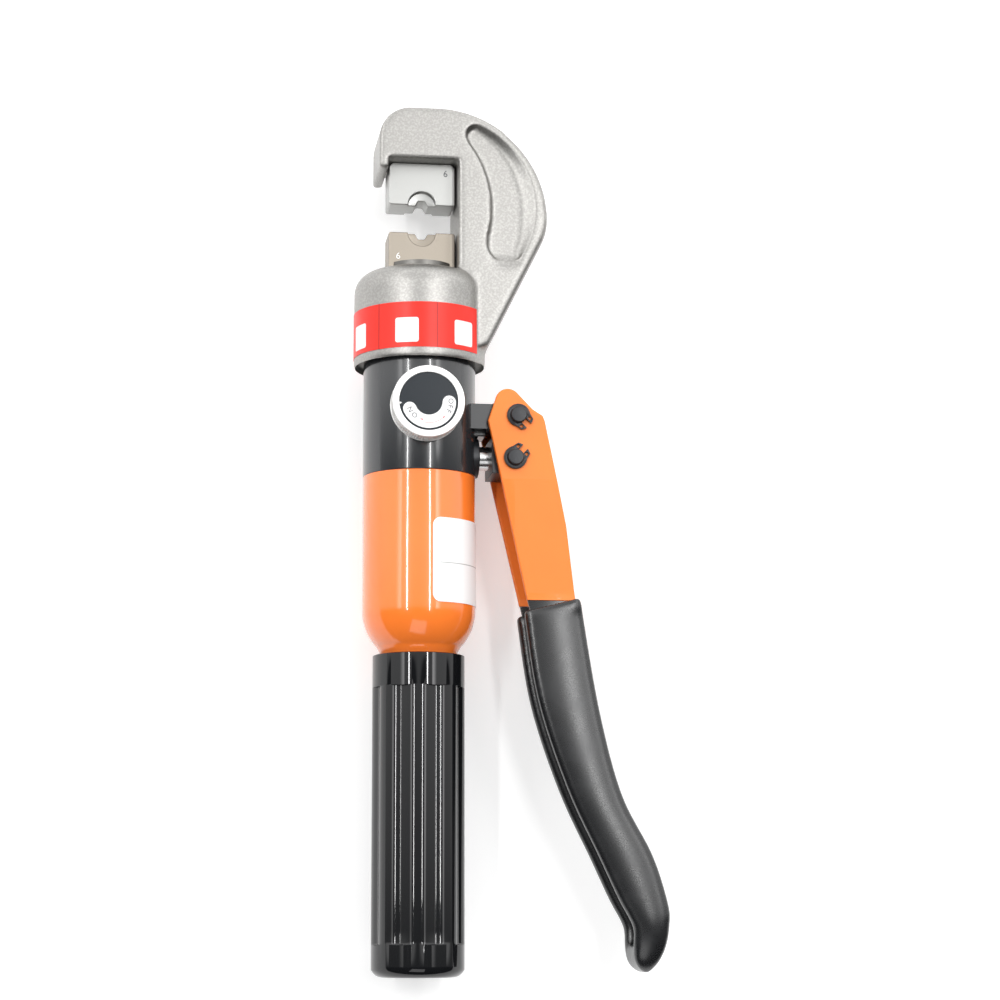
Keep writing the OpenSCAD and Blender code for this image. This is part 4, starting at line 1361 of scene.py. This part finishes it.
@dataclass
class Grip:
    """Fluted grip with plain bands at both ends."""

    flutes: int = 8
    ridge_radius: float = 7.6 * MM
    wall_tilt: float = math.radians(15.5)
    valley_soft: float = 0.022
    ridge_turn: float = math.radians(-6)
    low_y: float = 12.3 * MM
    high_y: float = 105.2 * MM
    run_out: float = 0.9 * MM
    end_wall: float = 0.25 * MM
    lip: float = 0.75 * MM
    butt_round: float = 4 * MM
    rim_round: float = 0.8 * MM
    bore: float = 13.2 * MM
    butt_wall: float = 6 * MM
    skin: float = 0.2 * MM
    rows: int = 26
    ease_rows: int = 8
    foot_walls: float = 2.2
    crease: float = math.radians(40)
    sides: int = 480
    outer: float = field(init=False, default=0.0)

    def build(self, bench: Bench) -> None:
        """Makes the grip and hides its plain solid.

        Args:
            bench: Bench that dresses the piece.
        """
        low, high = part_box("handle_grip")
        self.outer = high.x
        corners = [
            Corner(0, low.y),
            Corner(self.outer, low.y, self.butt_round),
            Corner(self.outer, high.y, self.rim_round),
            Corner(self.bore, high.y),
            Corner(self.bore, low.y + self.butt_wall),
            Corner(0, low.y + self.butt_wall),
        ]
        mesh = lathe(corners, Axis.Y, (0, 0, 0), self.sides)
        for place in self.stations():
            sliced(mesh, Axis.Y, place)
        for vert in mesh.verts:
            radius = math.hypot(vert.co.x, vert.co.z)
            if radius > self.outer - self.skin:
                angle = math.atan2(vert.co.x, vert.co.z)
                cut = self.radius_at(angle, vert.co.y)
                vert.co.x *= cut / radius
                vert.co.z *= cut / radius
                top = self.high_y - 2 * self.end_wall < vert.co.y < self.high_y + WELD
                foot = self.low_y - WELD < vert.co.y < self.low_y + self.run_out + WELD
                if top or foot:
                    vert.co.y -= self.lip * self.sunk(angle)
        bench.piece(
            "fluted_grip", mesh, Slot.GRIP_PLASTIC, Rider.BODY, ["handle_grip"], crease=self.crease
        )

    def stations(self) -> list[float]:
        """Places of the rows of the grip's side, close together where a flute ends."""
        walls = [self.high_y - share * self.end_wall for share in (0, 1, self.foot_walls)]
        steps = range(1, self.ease_rows + 1)
        ease = [self.low_y + self.run_out * step / self.ease_rows for step in steps]
        first = self.low_y + self.run_out
        span = self.high_y - first
        side = [first + span * step / self.rows for step in range(1, self.rows)]
        return walls + [self.low_y] + ease + side

    def radius_at(self, angle: float, y: float) -> float:
        """Radius of the fluted side.

        Args:
            angle: Angle round the grip from +Z towards +X.
            y: Place along the grip.

        Returns:
            The radius there.
        """
        if not self.low_y < y < self.high_y - WELD:
            return self.outer
        rise = min(1.0, (y - self.low_y) / self.run_out)
        share = math.sqrt(1 - (1 - rise) ** 2)
        return self.outer + (self.fluted(angle) - self.outer) * share

    def off_valley(self, angle: float) -> float:
        """Angle between a place on the side and the nearest valley."""
        pitch = FULL_TURN / self.flutes
        return abs((angle - self.ridge_turn) % pitch - pitch / 2)

    def sunk(self, angle: float) -> float:
        """How deep a place lies in its flute, from zero on a ridge to one in a valley."""
        pitch = FULL_TURN / self.flutes
        return 1 - (2 * self.off_valley(angle) / pitch) ** 2

    def fluted(self, angle: float) -> float:
        """Radius of the full flutes: round ridges with flat walls that meet in soft valleys.

        Args:
            angle: Angle round the grip from +Z towards +X.

        Returns:
            The radius there.
        """
        valley = math.hypot(self.off_valley(angle), self.valley_soft)
        ridge = FULL_TURN / self.flutes / 2 - self.off_valley(angle)
        wall = FULL_TURN / self.flutes / 2 + self.wall_tilt
        bow = self.ridge_radius
        centre = self.outer - bow
        tangent = centre * math.cos(wall) + bow
        touch = math.atan2(bow * math.sin(wall), centre + bow * math.cos(wall))
        if ridge < touch:
            return centre * math.cos(ridge) + math.sqrt(bow**2 - (centre * math.sin(ridge)) ** 2)
        return tangent / math.cos(self.wall_tilt + valley)


@dataclass
class ReleaseKnob:
    """Knurled release knob with its printed dial."""

    teeth: int = 84
    tooth_depth: float = 0.9 * MM
    knurl_inset: float = 0.4 * MM
    knurl_foot: Triple = (1.0, 1.2, 1.3)
    knurl_top: Triple = (1.8, 1.7, 1.5)
    bore: float = 4.2 * MM
    seat_gap: float = 0.02 * MM
    edge: float = 0.35 * MM
    lip: float = 0.25 * MM
    dial_gap: float = 0.1 * MM
    dial_edge: float = 0.15 * MM
    field_radius: float = 7.5 * MM
    field_half: float = 2.45 * MM
    field_from: float = math.radians(203)
    field_to: float = math.radians(358)
    field_steps: int = 40
    cap_steps: int = 10
    dial_sides: int = 128
    ink_depth: float = 0.03 * MM
    letter_size: float = 2.6 * MM
    letter_lift: float = 1.5
    letters: tuple[tuple[str, float, float], ...] = (
        ("O", 226, 7.3), ("N", 206, 7.4), ("O", 1, 8.0), ("F", -13, 8.0), ("F", -26, 8.0),
    )
    arrows: tuple[Triple, ...] = ((248, 7.2, -90), (-45, 8.0, 90))
    arrow: float = 0.55 * MM
    arrow_slim: float = 0.55
    arc_half: float = 0.06 * MM
    arc_gap: float = 6
    arc_steps: int = 16
    pointer_turn: float = math.radians(185)
    pointer: float = 0.9 * MM
    centre: Vector = field(init=False)
    top: float = field(init=False, default=0.0)

    def build(self, bench: Bench) -> None:
        """Makes the knob, the dial and the print on it.

        Args:
            bench: Bench that dresses the pieces.
        """
        low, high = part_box("knob")
        dial_low, dial_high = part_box("knob_dial")
        self.centre = Vector((*middle("knob").xy, 0))
        self.top = dial_high.z
        ring = self.ring(low, high, dial_low, dial_high)
        bench.piece("knurled_knob", ring, Slot.KNOB_BRIGHT, Rider.KNOB, ["knob"])
        radius = dial_high.x - self.centre.x
        profile = [
            Corner(0, dial_low.z),
            Corner(radius, dial_low.z),
            Corner(radius, dial_high.z, self.dial_edge),
            Corner(0, dial_high.z),
        ]
        disc = lathe(profile, Axis.Z, self.centre, self.dial_sides)
        bench.piece("dial_disc", disc, Slot.DIAL_BLACK, Rider.KNOB, ["knob_dial"])
        bench.piece("dial_field", self.banana(), Slot.DIAL_BLACK, Rider.KNOB, own=WHITE_INK)
        bench.piece("dial_letters", self.print_letters(), Slot.DIAL_BLACK, Rider.KNOB, own=GREY_INK)
        bench.piece("dial_arrows", self.print_arrows(), Slot.DIAL_BLACK, Rider.KNOB, own=RED_INK)
        pointer = self.print_pointer(radius)
        bench.piece("knob_pointer", pointer, Slot.KNOB_BRIGHT, Rider.KNOB, own=WHITE_INK)

    def ring(self, low: Vector, high: Vector, dial_low: Vector, dial_high: Vector) -> Mesh:
        """The knob body with its knurl.

        Args:
            low: Lowest corner of the knob's box.
            high: Highest corner of the knob's box.
            dial_low: Lowest corner of the dial's box.
            dial_high: Highest corner of the dial's box.

        Returns:
            The knurled knob.
        """
        outer = high.x - self.centre.x
        inner = dial_high.x - self.centre.x + self.dial_gap
        seat = dial_low.z - self.seat_gap
        foot = [low.z + share * self.knurl_inset for share in self.knurl_foot]
        top = [high.z - share * self.knurl_inset for share in self.knurl_top]
        corners = [
            Corner(self.bore, low.z),
            Corner(outer, low.z, self.lip),
            Corner(outer, foot[0]),
            Corner(outer, foot[2]),
            Corner(outer, top[0]),
            Corner(outer, top[2]),
            Corner(outer, high.z, self.edge),
            Corner(inner, high.z, self.lip),
            Corner(inner, seat),
            Corner(self.bore, seat),
        ]
        mesh = lathe(corners, Axis.Z, self.centre, 2 * self.teeth)
        pitch = FULL_TURN / (2 * self.teeth)
        for vert in mesh.verts:
            arm = vert.co - self.centre
            radius = math.hypot(arm.x, arm.y)
            column = round(math.atan2(arm.y, arm.x) / pitch)
            if radius > outer - WELD and foot[1] < vert.co.z < top[1] and column % 2:
                share = (radius - self.tooth_depth) / radius
                vert.co.x = self.centre.x + arm.x * share
                vert.co.y = self.centre.y + arm.y * share
        return mesh

    def spot(self, degrees: float, radius: float, lift: float = 0.0) -> Vector:
        """A point on the dial.

        Args:
            degrees: Angle from +X towards +Y.
            radius: Distance from the dial's middle.
            lift: Height over the dial face.

        Returns:
            The point.
        """
        angle = math.radians(degrees)
        arm = Vector((radius * math.cos(angle), radius * math.sin(angle), self.top + lift))
        return self.centre + arm

    def banana(self) -> Mesh:
        """The white field, bent round the dial with round ends."""
        start, end = math.degrees(self.field_from), math.degrees(self.field_to)
        inner = self.field_radius - self.field_half
        outer = self.field_radius + self.field_half
        steps = self.field_steps
        outline = [self.spot(start + (end - start) * s / steps, outer) for s in range(steps + 1)]
        outline += self.cap(end, -1)
        outline += [self.spot(end - (end - start) * s / steps, inner) for s in range(steps + 1)]
        outline += self.cap(start, 1)
        return plate(outline, self.ink_depth)

    def cap(self, degrees: float, side: int) -> list[Vector]:
        """Points of a round end of the field.

        Args:
            degrees: Angle of the end round the dial.
            side: -1 at the last end, 1 at the first.

        Returns:
            The points between the two long edges.
        """
        middle = self.spot(degrees, self.field_radius)
        points = []
        for step in range(1, self.cap_steps):
            swing = math.pi * step / self.cap_steps
            turn = math.radians(degrees) + (swing if side < 0 else swing + math.pi)
            points.append(middle + self.field_half * Vector((math.cos(turn), math.sin(turn), 0)))
        return points

    def print_letters(self) -> Mesh:
        """The words on the field."""
        lift = self.letter_lift * self.ink_depth
        parts = []
        for letter, degrees, radius in self.letters:
            turn = Matrix.Rotation(math.radians(degrees - 90), 4, "Z")
            place = Matrix.Translation(self.spot(degrees, radius * MM, lift)) @ turn
            parts.append(lettering(letter, self.letter_size, place, self.ink_depth))
        return joined(parts)

    def print_arrows(self) -> Mesh:
        """The two small red arrows and the thin arc that joins them."""
        parts = []
        for degrees, radius, heading in self.arrows:
            tip = self.spot(degrees, radius * MM, self.ink_depth)
            ahead = math.radians(degrees + heading)
            front = Vector((math.cos(ahead), math.sin(ahead), 0)) * self.arrow
            side = Vector((-front.y, front.x, 0)) * self.arrow_slim
            corners = [tip + front, tip - front + side, tip - front - side]
            parts.append(plate(corners, self.ink_depth))
        from_deg = self.arrows[0][0] + self.arc_gap
        to_deg = 360 + self.arrows[1][0] - self.arc_gap
        radius = self.arrows[1][1] * MM
        steps = self.arc_steps
        sweep = [from_deg + (to_deg - from_deg) * s / steps for s in range(steps + 1)]
        outline = [self.spot(d, radius + self.arc_half, self.ink_depth) for d in sweep]
        outline += [self.spot(d, radius - self.arc_half, self.ink_depth) for d in reversed(sweep)]
        parts.append(plate(outline, self.ink_depth))
        return joined(parts)

    def print_pointer(self, radius: float) -> Mesh:
        """The small white triangle that points from the ring into the dial.

        Args:
            radius: Radius of the dial.

        Returns:
            The triangle.
        """
        out = Vector((math.cos(self.pointer_turn), math.sin(self.pointer_turn), 0))
        side = Vector((-out.y, out.x, 0)) * self.pointer * self.arrow_slim
        back = self.centre + out * radius + Vector((0, 0, self.top))
        tip = back - out * self.pointer
        return plate([tip, back + side, back - side], self.ink_depth)


@dataclass
class Lever:
    """Pressed orange lever with its dipped sleeve, two pins and their clips."""

    sheet_edge: float = 0.5 * MM
    sheet_weld: float = 0.5 * MM
    sheet_sharp: float = math.radians(50)
    jog: Span = (-44 * MM, -54 * MM)
    jog_step: float = 2.5 * MM
    taper: Span = (-24 * MM, -66 * MM)
    sleeve_voxel: float = 0.62 * MM
    sleeve_rounds: int = 26
    sleeve_swell: float = 0.45 * MM
    sleeve_crease: float = math.radians(70)
    crown: float = 1.0 * MM
    crown_reach: float = 4 * MM
    crown_fade: float = 3 * MM
    bin: float = 1 * MM
    tip_l: float = 20 * MM
    tip_slim: float = 0.35
    tip_reach: float = 8.4 * MM
    tip_side: float = 0.8
    core_from: float = 1 * MM
    core_slim: float = 0.3 * MM
    flat: float = 60 * MM**2
    pin_chamfer: float = 0.3 * MM
    pin_round: float = 0.15 * MM
    pin_sides: int = 64
    clip_t: float = 0.8 * MM
    clip_edge: float = 0.12 * MM
    clip_ring: Span = (2.85 * MM, 4.3 * MM)
    clip_gape: Span = (math.radians(22), math.radians(56))
    clip_arm: tuple[Span, ...] = ((4.8 * MM, 3.0 * MM), (5.6 * MM, 1.15 * MM))
    clip_eye: Triple = (3.75 * MM, 2.15 * MM, 0.62 * MM)
    clip_steps: int = 32
    eye_steps: int = 16
    clip_mouths: tuple[tuple[str, float], ...] = (
        ("pivot_pin", math.radians(-46)), ("drive_pin", math.radians(47)),
    )

    def build(self, bench: Bench) -> None:
        """Makes the lever's pieces.

        Args:
            bench: Bench that dresses the pieces.
        """
        channel = softened(
            "lever_channel", self.sheet_edge, self.sheet_weld, sharp=self.sheet_sharp
        )
        self.ease_jog(channel)
        low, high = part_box("lever_sleeve")
        core = channel.copy()
        self.cut(channel, high.y - self.core_from, below=True)
        self.cut(core, high.y - self.core_from, below=False)
        self.cut(core, low.y + self.tip_l, below=True)
        swell(core, -self.core_slim)
        bench.piece("lever_core", core, Slot.DIPPED_VINYL, Rider.LEVER)
        bench.piece(
            "lever_arm", channel, Slot.ORANGE_PAINT, Rider.LEVER, ["lever_channel"],
            own=LEVER_ENAMEL, flat=self.flat,
        )
        sleeve = remeshed(cad_copy("lever_sleeve"), self.sleeve_voxel)
        self.crown_faces(sleeve)
        self.round_tip(sleeve)
        relax(sleeve, self.sleeve_rounds)
        swell(sleeve, self.sleeve_swell)
        bench.piece(
            "lever_dip", sleeve, Slot.DIPPED_VINYL, Rider.LEVER, ["lever_sleeve"],
            crease=self.sleeve_crease,
        )
        for node in ("pivot_pin", "drive_pin"):
            bench.piece(f"{node}_round", self.pin(node), Slot.BLACK_OXIDE, Rider.LEVER, [node])
        bench.piece("pin_clips", self.clips(), Slot.BLACK_OXIDE, Rider.LEVER, ["circlips"])

    def crown_faces(self, mesh: Mesh) -> None:
        """Lowers the sides of the sleeve's two broad faces, so that they are gently crowned.

        Args:
            mesh: Mesh of the sleeve, changed in place.
        """
        top = max(v.co.z for v in mesh.verts)
        rim = max(v.co.y for v in mesh.verts) - self.crown_fade
        spans: dict[int, list[float]] = {}
        for vert in mesh.verts:
            spans.setdefault(round(vert.co.y / self.bin), []).append(vert.co.x)
        for vert in mesh.verts:
            height = abs(vert.co.z) - (top - self.crown_reach)
            if height > 0:
                row = spans[round(vert.co.y / self.bin)]
                centre, half = (max(row) + min(row)) / 2, (max(row) - min(row)) / 2
                ease = clamped((rim - vert.co.y) / self.crown_fade)
                bow = ((vert.co.x - centre) / half) ** 2
                drop = ease * self.crown * bow * height / self.crown_reach
                vert.co.z -= math.copysign(drop, vert.co.z)

    def round_tip(self, mesh: Mesh) -> None:
        """Brings the end of the sleeve to a rounded point.

        Args:
            mesh: Mesh of the sleeve, changed in place.
        """
        low = min(v.co.y for v in mesh.verts)
        ends = [v.co.x for v in mesh.verts if v.co.y < low + 2 * self.sleeve_voxel]
        tip = min(ends) + (max(ends) - min(ends)) * self.tip_side
        for vert in mesh.verts:
            share = (vert.co.y - low) / self.tip_l
            if share < 1:
                bow = math.sqrt(max(0.0, 1 - (1 - share) ** 2))
                vert.co.z *= self.tip_slim + (1 - self.tip_slim) * bow
                vert.co.x = max(vert.co.x, tip - self.tip_reach * bow)

    def cut(self, mesh: Mesh, level: float, below: bool) -> None:
        """Cuts a piece of the lever across and closes the cut.

        Args:
            mesh: Mesh that is cut, changed in place.
            level: Height of the cut along the tool.
            below: True to take away what lies below the cut, else what lies above it.
        """
        sliced(mesh, Axis.Y, level, below=below, above=not below)
        bmesh.ops.holes_fill(mesh, edges=[e for e in mesh.edges if e.is_boundary], sides=0)

    def ease_jog(self, mesh: Mesh) -> None:
        """Spreads the step in the lever's width over the length between the pins and the sleeve.

        Args:
            mesh: Mesh of the lever, changed in place.
        """
        pivot = middle("pivot_pin").y
        (top, low), (start, end) = self.jog, self.taper
        for place in (start, end):
            sliced(mesh, Axis.Y, pivot + place)
        for vert in mesh.verts:
            place = vert.co.y - pivot
            old = clamped((top - place) / (top - low))
            new = clamped((start - place) / (start - end))
            if abs(vert.co.z) > self.jog_step:
                vert.co.z -= (new - old) * math.copysign(self.jog_step, vert.co.z)

    def clips(self) -> Mesh:
        """The four snap rings, with their open side turned as on the lever."""
        low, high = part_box("circlips")
        bore, rim = self.clip_ring
        slot, root = self.clip_gape
        steps = self.clip_steps
        back = [root + (FULL_TURN - 2 * root) * s / steps for s in range(steps + 1)]
        hole = [slot + (FULL_TURN - 2 * slot) * s / steps for s in range(steps + 1)]
        (heel_x, heel_y), (toe_x, toe_y) = self.clip_arm
        outline = [(rim * math.cos(a), rim * math.sin(a)) for a in back]
        outline += [(heel_x, -heel_y), (toe_x, -toe_y)]
        outline += [(bore * math.cos(a), bore * math.sin(a)) for a in reversed(hole)]
        outline += [(toe_x, toe_y), (heel_x, heel_y)]
        along, across, eye = self.clip_eye
        turns = [FULL_TURN * s / self.eye_steps for s in range(self.eye_steps)]
        eyes = [
            [(along + eye * math.cos(a), side + eye * math.sin(a)) for a in turns]
            for side in (-across, across)
        ]
        parts = []
        for pin, mouth in self.clip_mouths:
            for level in (low.z + self.clip_t / 2, high.z - self.clip_t / 2):
                place = Vector((*middle(pin).xy, level))
                turn = Matrix.Translation(place) @ Matrix.Rotation(mouth, 4, "Z")
                parts.append(stamped([outline, *eyes], self.clip_t, self.clip_edge, turn))
        return joined(parts)

    def pin(self, node: str) -> Mesh:
        """A lever pin with chamfered ends.

        Args:
            node: Node that the pin stands for.

        Returns:
            The turned pin.
        """
        low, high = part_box(node)
        radius = (high.x - low.x) / 2
        centre = (*middle(node).xy, 0)
        cut, soft = self.pin_chamfer, self.pin_round
        corners = [
            Corner(0, low.z),
            Corner(radius - cut, low.z, soft),
            Corner(radius, low.z + cut, soft),
            Corner(radius, high.z - cut, soft),
            Corner(radius - cut, high.z, soft),
            Corner(0, high.z),
        ]
        return lathe(corners, Axis.Z, centre, self.pin_sides)


@dataclass
class Pump:
    """Crosshead and gland of the pump, and the bush of the release spindle."""

    edge: float = 0.55 * MM
    weld: float = 0.3 * MM
    gland_edge: float = 0.5 * MM
    flat: float = 25 * MM**2

    def build(self, bench: Bench) -> None:
        """Makes the three pieces with rounded edges.

        Args:
            bench: Bench that dresses the pieces.
        """
        cross = softened("crosshead", self.edge, self.weld)
        bench.piece(
            "crosshead_block", cross, Slot.BLACK_OXIDE, Rider.PLUNGER, ["crosshead"], flat=self.flat
        )
        gland = softened("pump_gland", self.gland_edge, self.weld)
        bench.piece("gland_ring", gland, Slot.BLACK_OXIDE, Rider.BODY, ["pump_gland"])
        bush = softened("release_bush", self.gland_edge, self.weld)
        bench.piece("release_ring", bush, Slot.PLAIN_STEEL, Rider.BODY, ["release_bush"])


@dataclass(frozen=True)
class Coil:
    """One coil spring that is pressed together by a joint.

    Attributes:
        node: Node that it stands for.
        rider: Body that carries it.
        joint: Joint that presses it; not used.
        axis: Axis along which it gives way; not used.
        upper: True if its upper end stays where it is; not used.
        travel: Way of the joint; not used.
    """

    node: str
    rider: Rider
    joint: str
    axis: Axis
    upper: bool
    travel: float

    def build(self, bench: Bench) -> None:
        """Makes the coil from a copy of its node.

        Args:
            bench: Bench that dresses the piece.
        """
        low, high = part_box(self.node)
        name = self.node.replace("spring", "coil")
        coil = bench.piece(name, cad_copy(self.node), Slot.SPRING_STEEL, self.rider, [self.node])
        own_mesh(coil)


COILS: tuple[Coil, ...] = (
    Coil("return_spring", Rider.HEAD, "ram_slide", Axis.Y, True, 10.4 * MM),
    Coil("inlet_spring", Rider.BODY, "inlet_lift", Axis.Y, True, 0.8 * MM),
    Coil("outlet_spring", Rider.BODY, "outlet_lift", Axis.Y, True, 0.8 * MM),
    Coil("relief_spring", Rider.BODY, "relief_lift", Axis.Z, False, 0.6 * MM),
)


@dataclass
class Studio:
    """White table, a light tent that is dim on the near side, three lamps and the camera."""

    floor_half: float = 4.0
    floor_color: Color = (0.8, 0.8, 0.8)
    floor_glow: float = 0.4
    floor_rough: float = 0.9
    tent_near: float = 0.05
    tent_far: float = 1.3
    tent_from: float = -0.07
    tent_to: float = 0.22
    panels: tuple[Triple, ...] = ((-40.0, -1.0, 3.8), (27.0, 1.0, 5.0))
    panel_from: float = -0.05
    panel_to: float = 0.05
    panel_rise: float = 3.0
    panel_fall: float = 11.0
    panel_tail: float = 0.07
    tube_turns: tuple[float, ...] = (-29.5, 16.0)
    tube_reach: float = 1.2
    tube_y: float = 0.33
    tube_size: Span = (0.042, 0.59)
    tube_radiance: float = 42.0
    fill_place: Triple = (-0.1, -0.62, 0.85)
    fill_aim: Triple = (0.0, 0.13, 0.0)
    fill_size: float = 0.6
    fill_watts: float = 1.9
    camera_place: Triple = (-97.951 * MM, 20.998 * MM, 913.691 * MM)
    camera_turns: Triple = (-8.0, 9.5, -0.142)
    lens: float = 90.0
    sensor: float = 36.0

    def build(self) -> None:
        """Sets the stage."""
        scene = bpy.context.scene
        scene.view_settings.view_transform = "Standard"
        self.lay_floor()
        self.light_world(scene)
        for turn in self.tube_turns:
            self.hang_tube(math.radians(turn))
        self.hang_fill()
        self.place_camera(scene)

    def lay_floor(self) -> None:
        """Lays the table, which looks white to the camera and keeps the shadows."""
        mesh = bmesh.new()
        bmesh.ops.create_grid(mesh, x_segments=1, y_segments=1, size=self.floor_half)
        bmesh.ops.translate(mesh, verts=mesh.verts[:], vec=(0, 0, CAD_BOX[0].z))
        data = bpy.data.meshes.new("table")
        mesh.to_mesh(data)
        mesh.free()
        shader = Shader("white_table")
        path = shader.node("ShaderNodeLightPath").socket.node.outputs
        seen = Wire(shader, path["Is Camera Ray"]) + Wire(shader, path["Is Glossy Ray"])
        glow = shader.math("MINIMUM", seen, 1.0)
        shader.surfaced(
            Base_Color=self.floor_color,
            Roughness=self.floor_rough,
            Specular_IOR_Level=0.0,
            Emission_Color=shader.mix(glow, (0, 0, 0), (1, 1, 1)),
            Emission_Strength=self.floor_glow,
        )
        data.materials.append(shader.material)
        linked("table", data)

    def light_world(self, scene: bpy.types.Scene) -> None:
        """Gives the world the pale light of a tent that is open on the near side.

        Args:
            scene: Scene that gets the world.
        """
        world = bpy.data.worlds.new("light_tent")
        world.use_nodes = True
        board = Board(world.node_tree)
        x, y, z = board.split(board.node("ShaderNodeTexCoord", output="Generated"))
        turn = board.math("DEGREES", board.math("ARCTAN2", x, z), 0.0)
        gain = self.tent_far - self.tent_near
        glow = self.tent_near + y.fade(self.tent_from, self.tent_to) * gain
        along = y.fade(self.panel_from, self.panel_to)
        for start, side, bright in self.panels:
            past = (turn - start) * side
            edge = past.fade(0.0, self.panel_rise)
            fall = 1 - past.fade(self.panel_rise, self.panel_rise + self.panel_fall)
            glow = edge * (fall * (1 - self.panel_tail) + self.panel_tail) * along * bright + glow
        seen = board.node("ShaderNodeLightPath", output="Is Camera Ray")
        glow = glow * (1 - seen) + seen
        sky = world.node_tree.nodes["Background"].inputs
        board.feed(sky["Color"], (1, 1, 1))
        board.feed(sky["Strength"], glow)
        scene.world = world

    def hang_tube(self, turn: float) -> None:
        """Hangs one long lamp over the part, along it.

        Args:
            turn: Angle of the lamp round the barrel.
        """
        lamp = bpy.data.lights.new("tube", "AREA")
        lamp.shape = "RECTANGLE"
        lamp.size, lamp.size_y = self.tube_size
        lamp.energy = self.tube_radiance * math.pi * self.tube_size[0] * self.tube_size[1]
        out = Vector((math.sin(turn), 0, math.cos(turn)))
        place = Matrix.Translation(out * self.tube_reach + Vector((0, self.tube_y, 0)))
        linked("tube", lamp).matrix_world = place @ Matrix.Rotation(turn, 4, "Y")

    def hang_fill(self) -> None:
        """Hangs a soft lamp on the near side, which lights the colours and the dark gloss."""
        lamp = bpy.data.lights.new("fill", "AREA")
        lamp.size = self.fill_size
        lamp.energy = self.fill_watts
        place = Vector(self.fill_place)
        turn = (place - Vector(self.fill_aim)).to_track_quat("Z", "Y").to_matrix().to_4x4()
        linked("fill", lamp).matrix_world = Matrix.Translation(place) @ turn

    def place_camera(self, scene: bpy.types.Scene) -> None:
        """Puts the camera where the photograph was taken from.

        Args:
            scene: Scene that looks through it.
        """
        eye = bpy.data.cameras.new("camera")
        eye.lens = self.lens
        eye.sensor_width = self.sensor
        place = Matrix.Translation(self.camera_place)
        for degrees, axis in zip(self.camera_turns, "YXZ"):
            place = place @ Matrix.Rotation(math.radians(degrees), 4, axis)
        scene.camera = linked("camera", eye)
        scene.camera.matrix_world = place


def main() -> None:
    """Builds the pieces in order, sets the stage and logs each piece's face count."""
    logging.basicConfig(level=logging.INFO, format="%(name)s: %(message)s")
    bench = Bench()
    bench.dress_nodes()
    for assembly in (Head(), Dies(), Barrel(), Grip(), ReleaseKnob(), Lever(), Pump(), *COILS):
        assembly.build(bench)
    Studio().build()


if __name__ == "__main__":
    main()
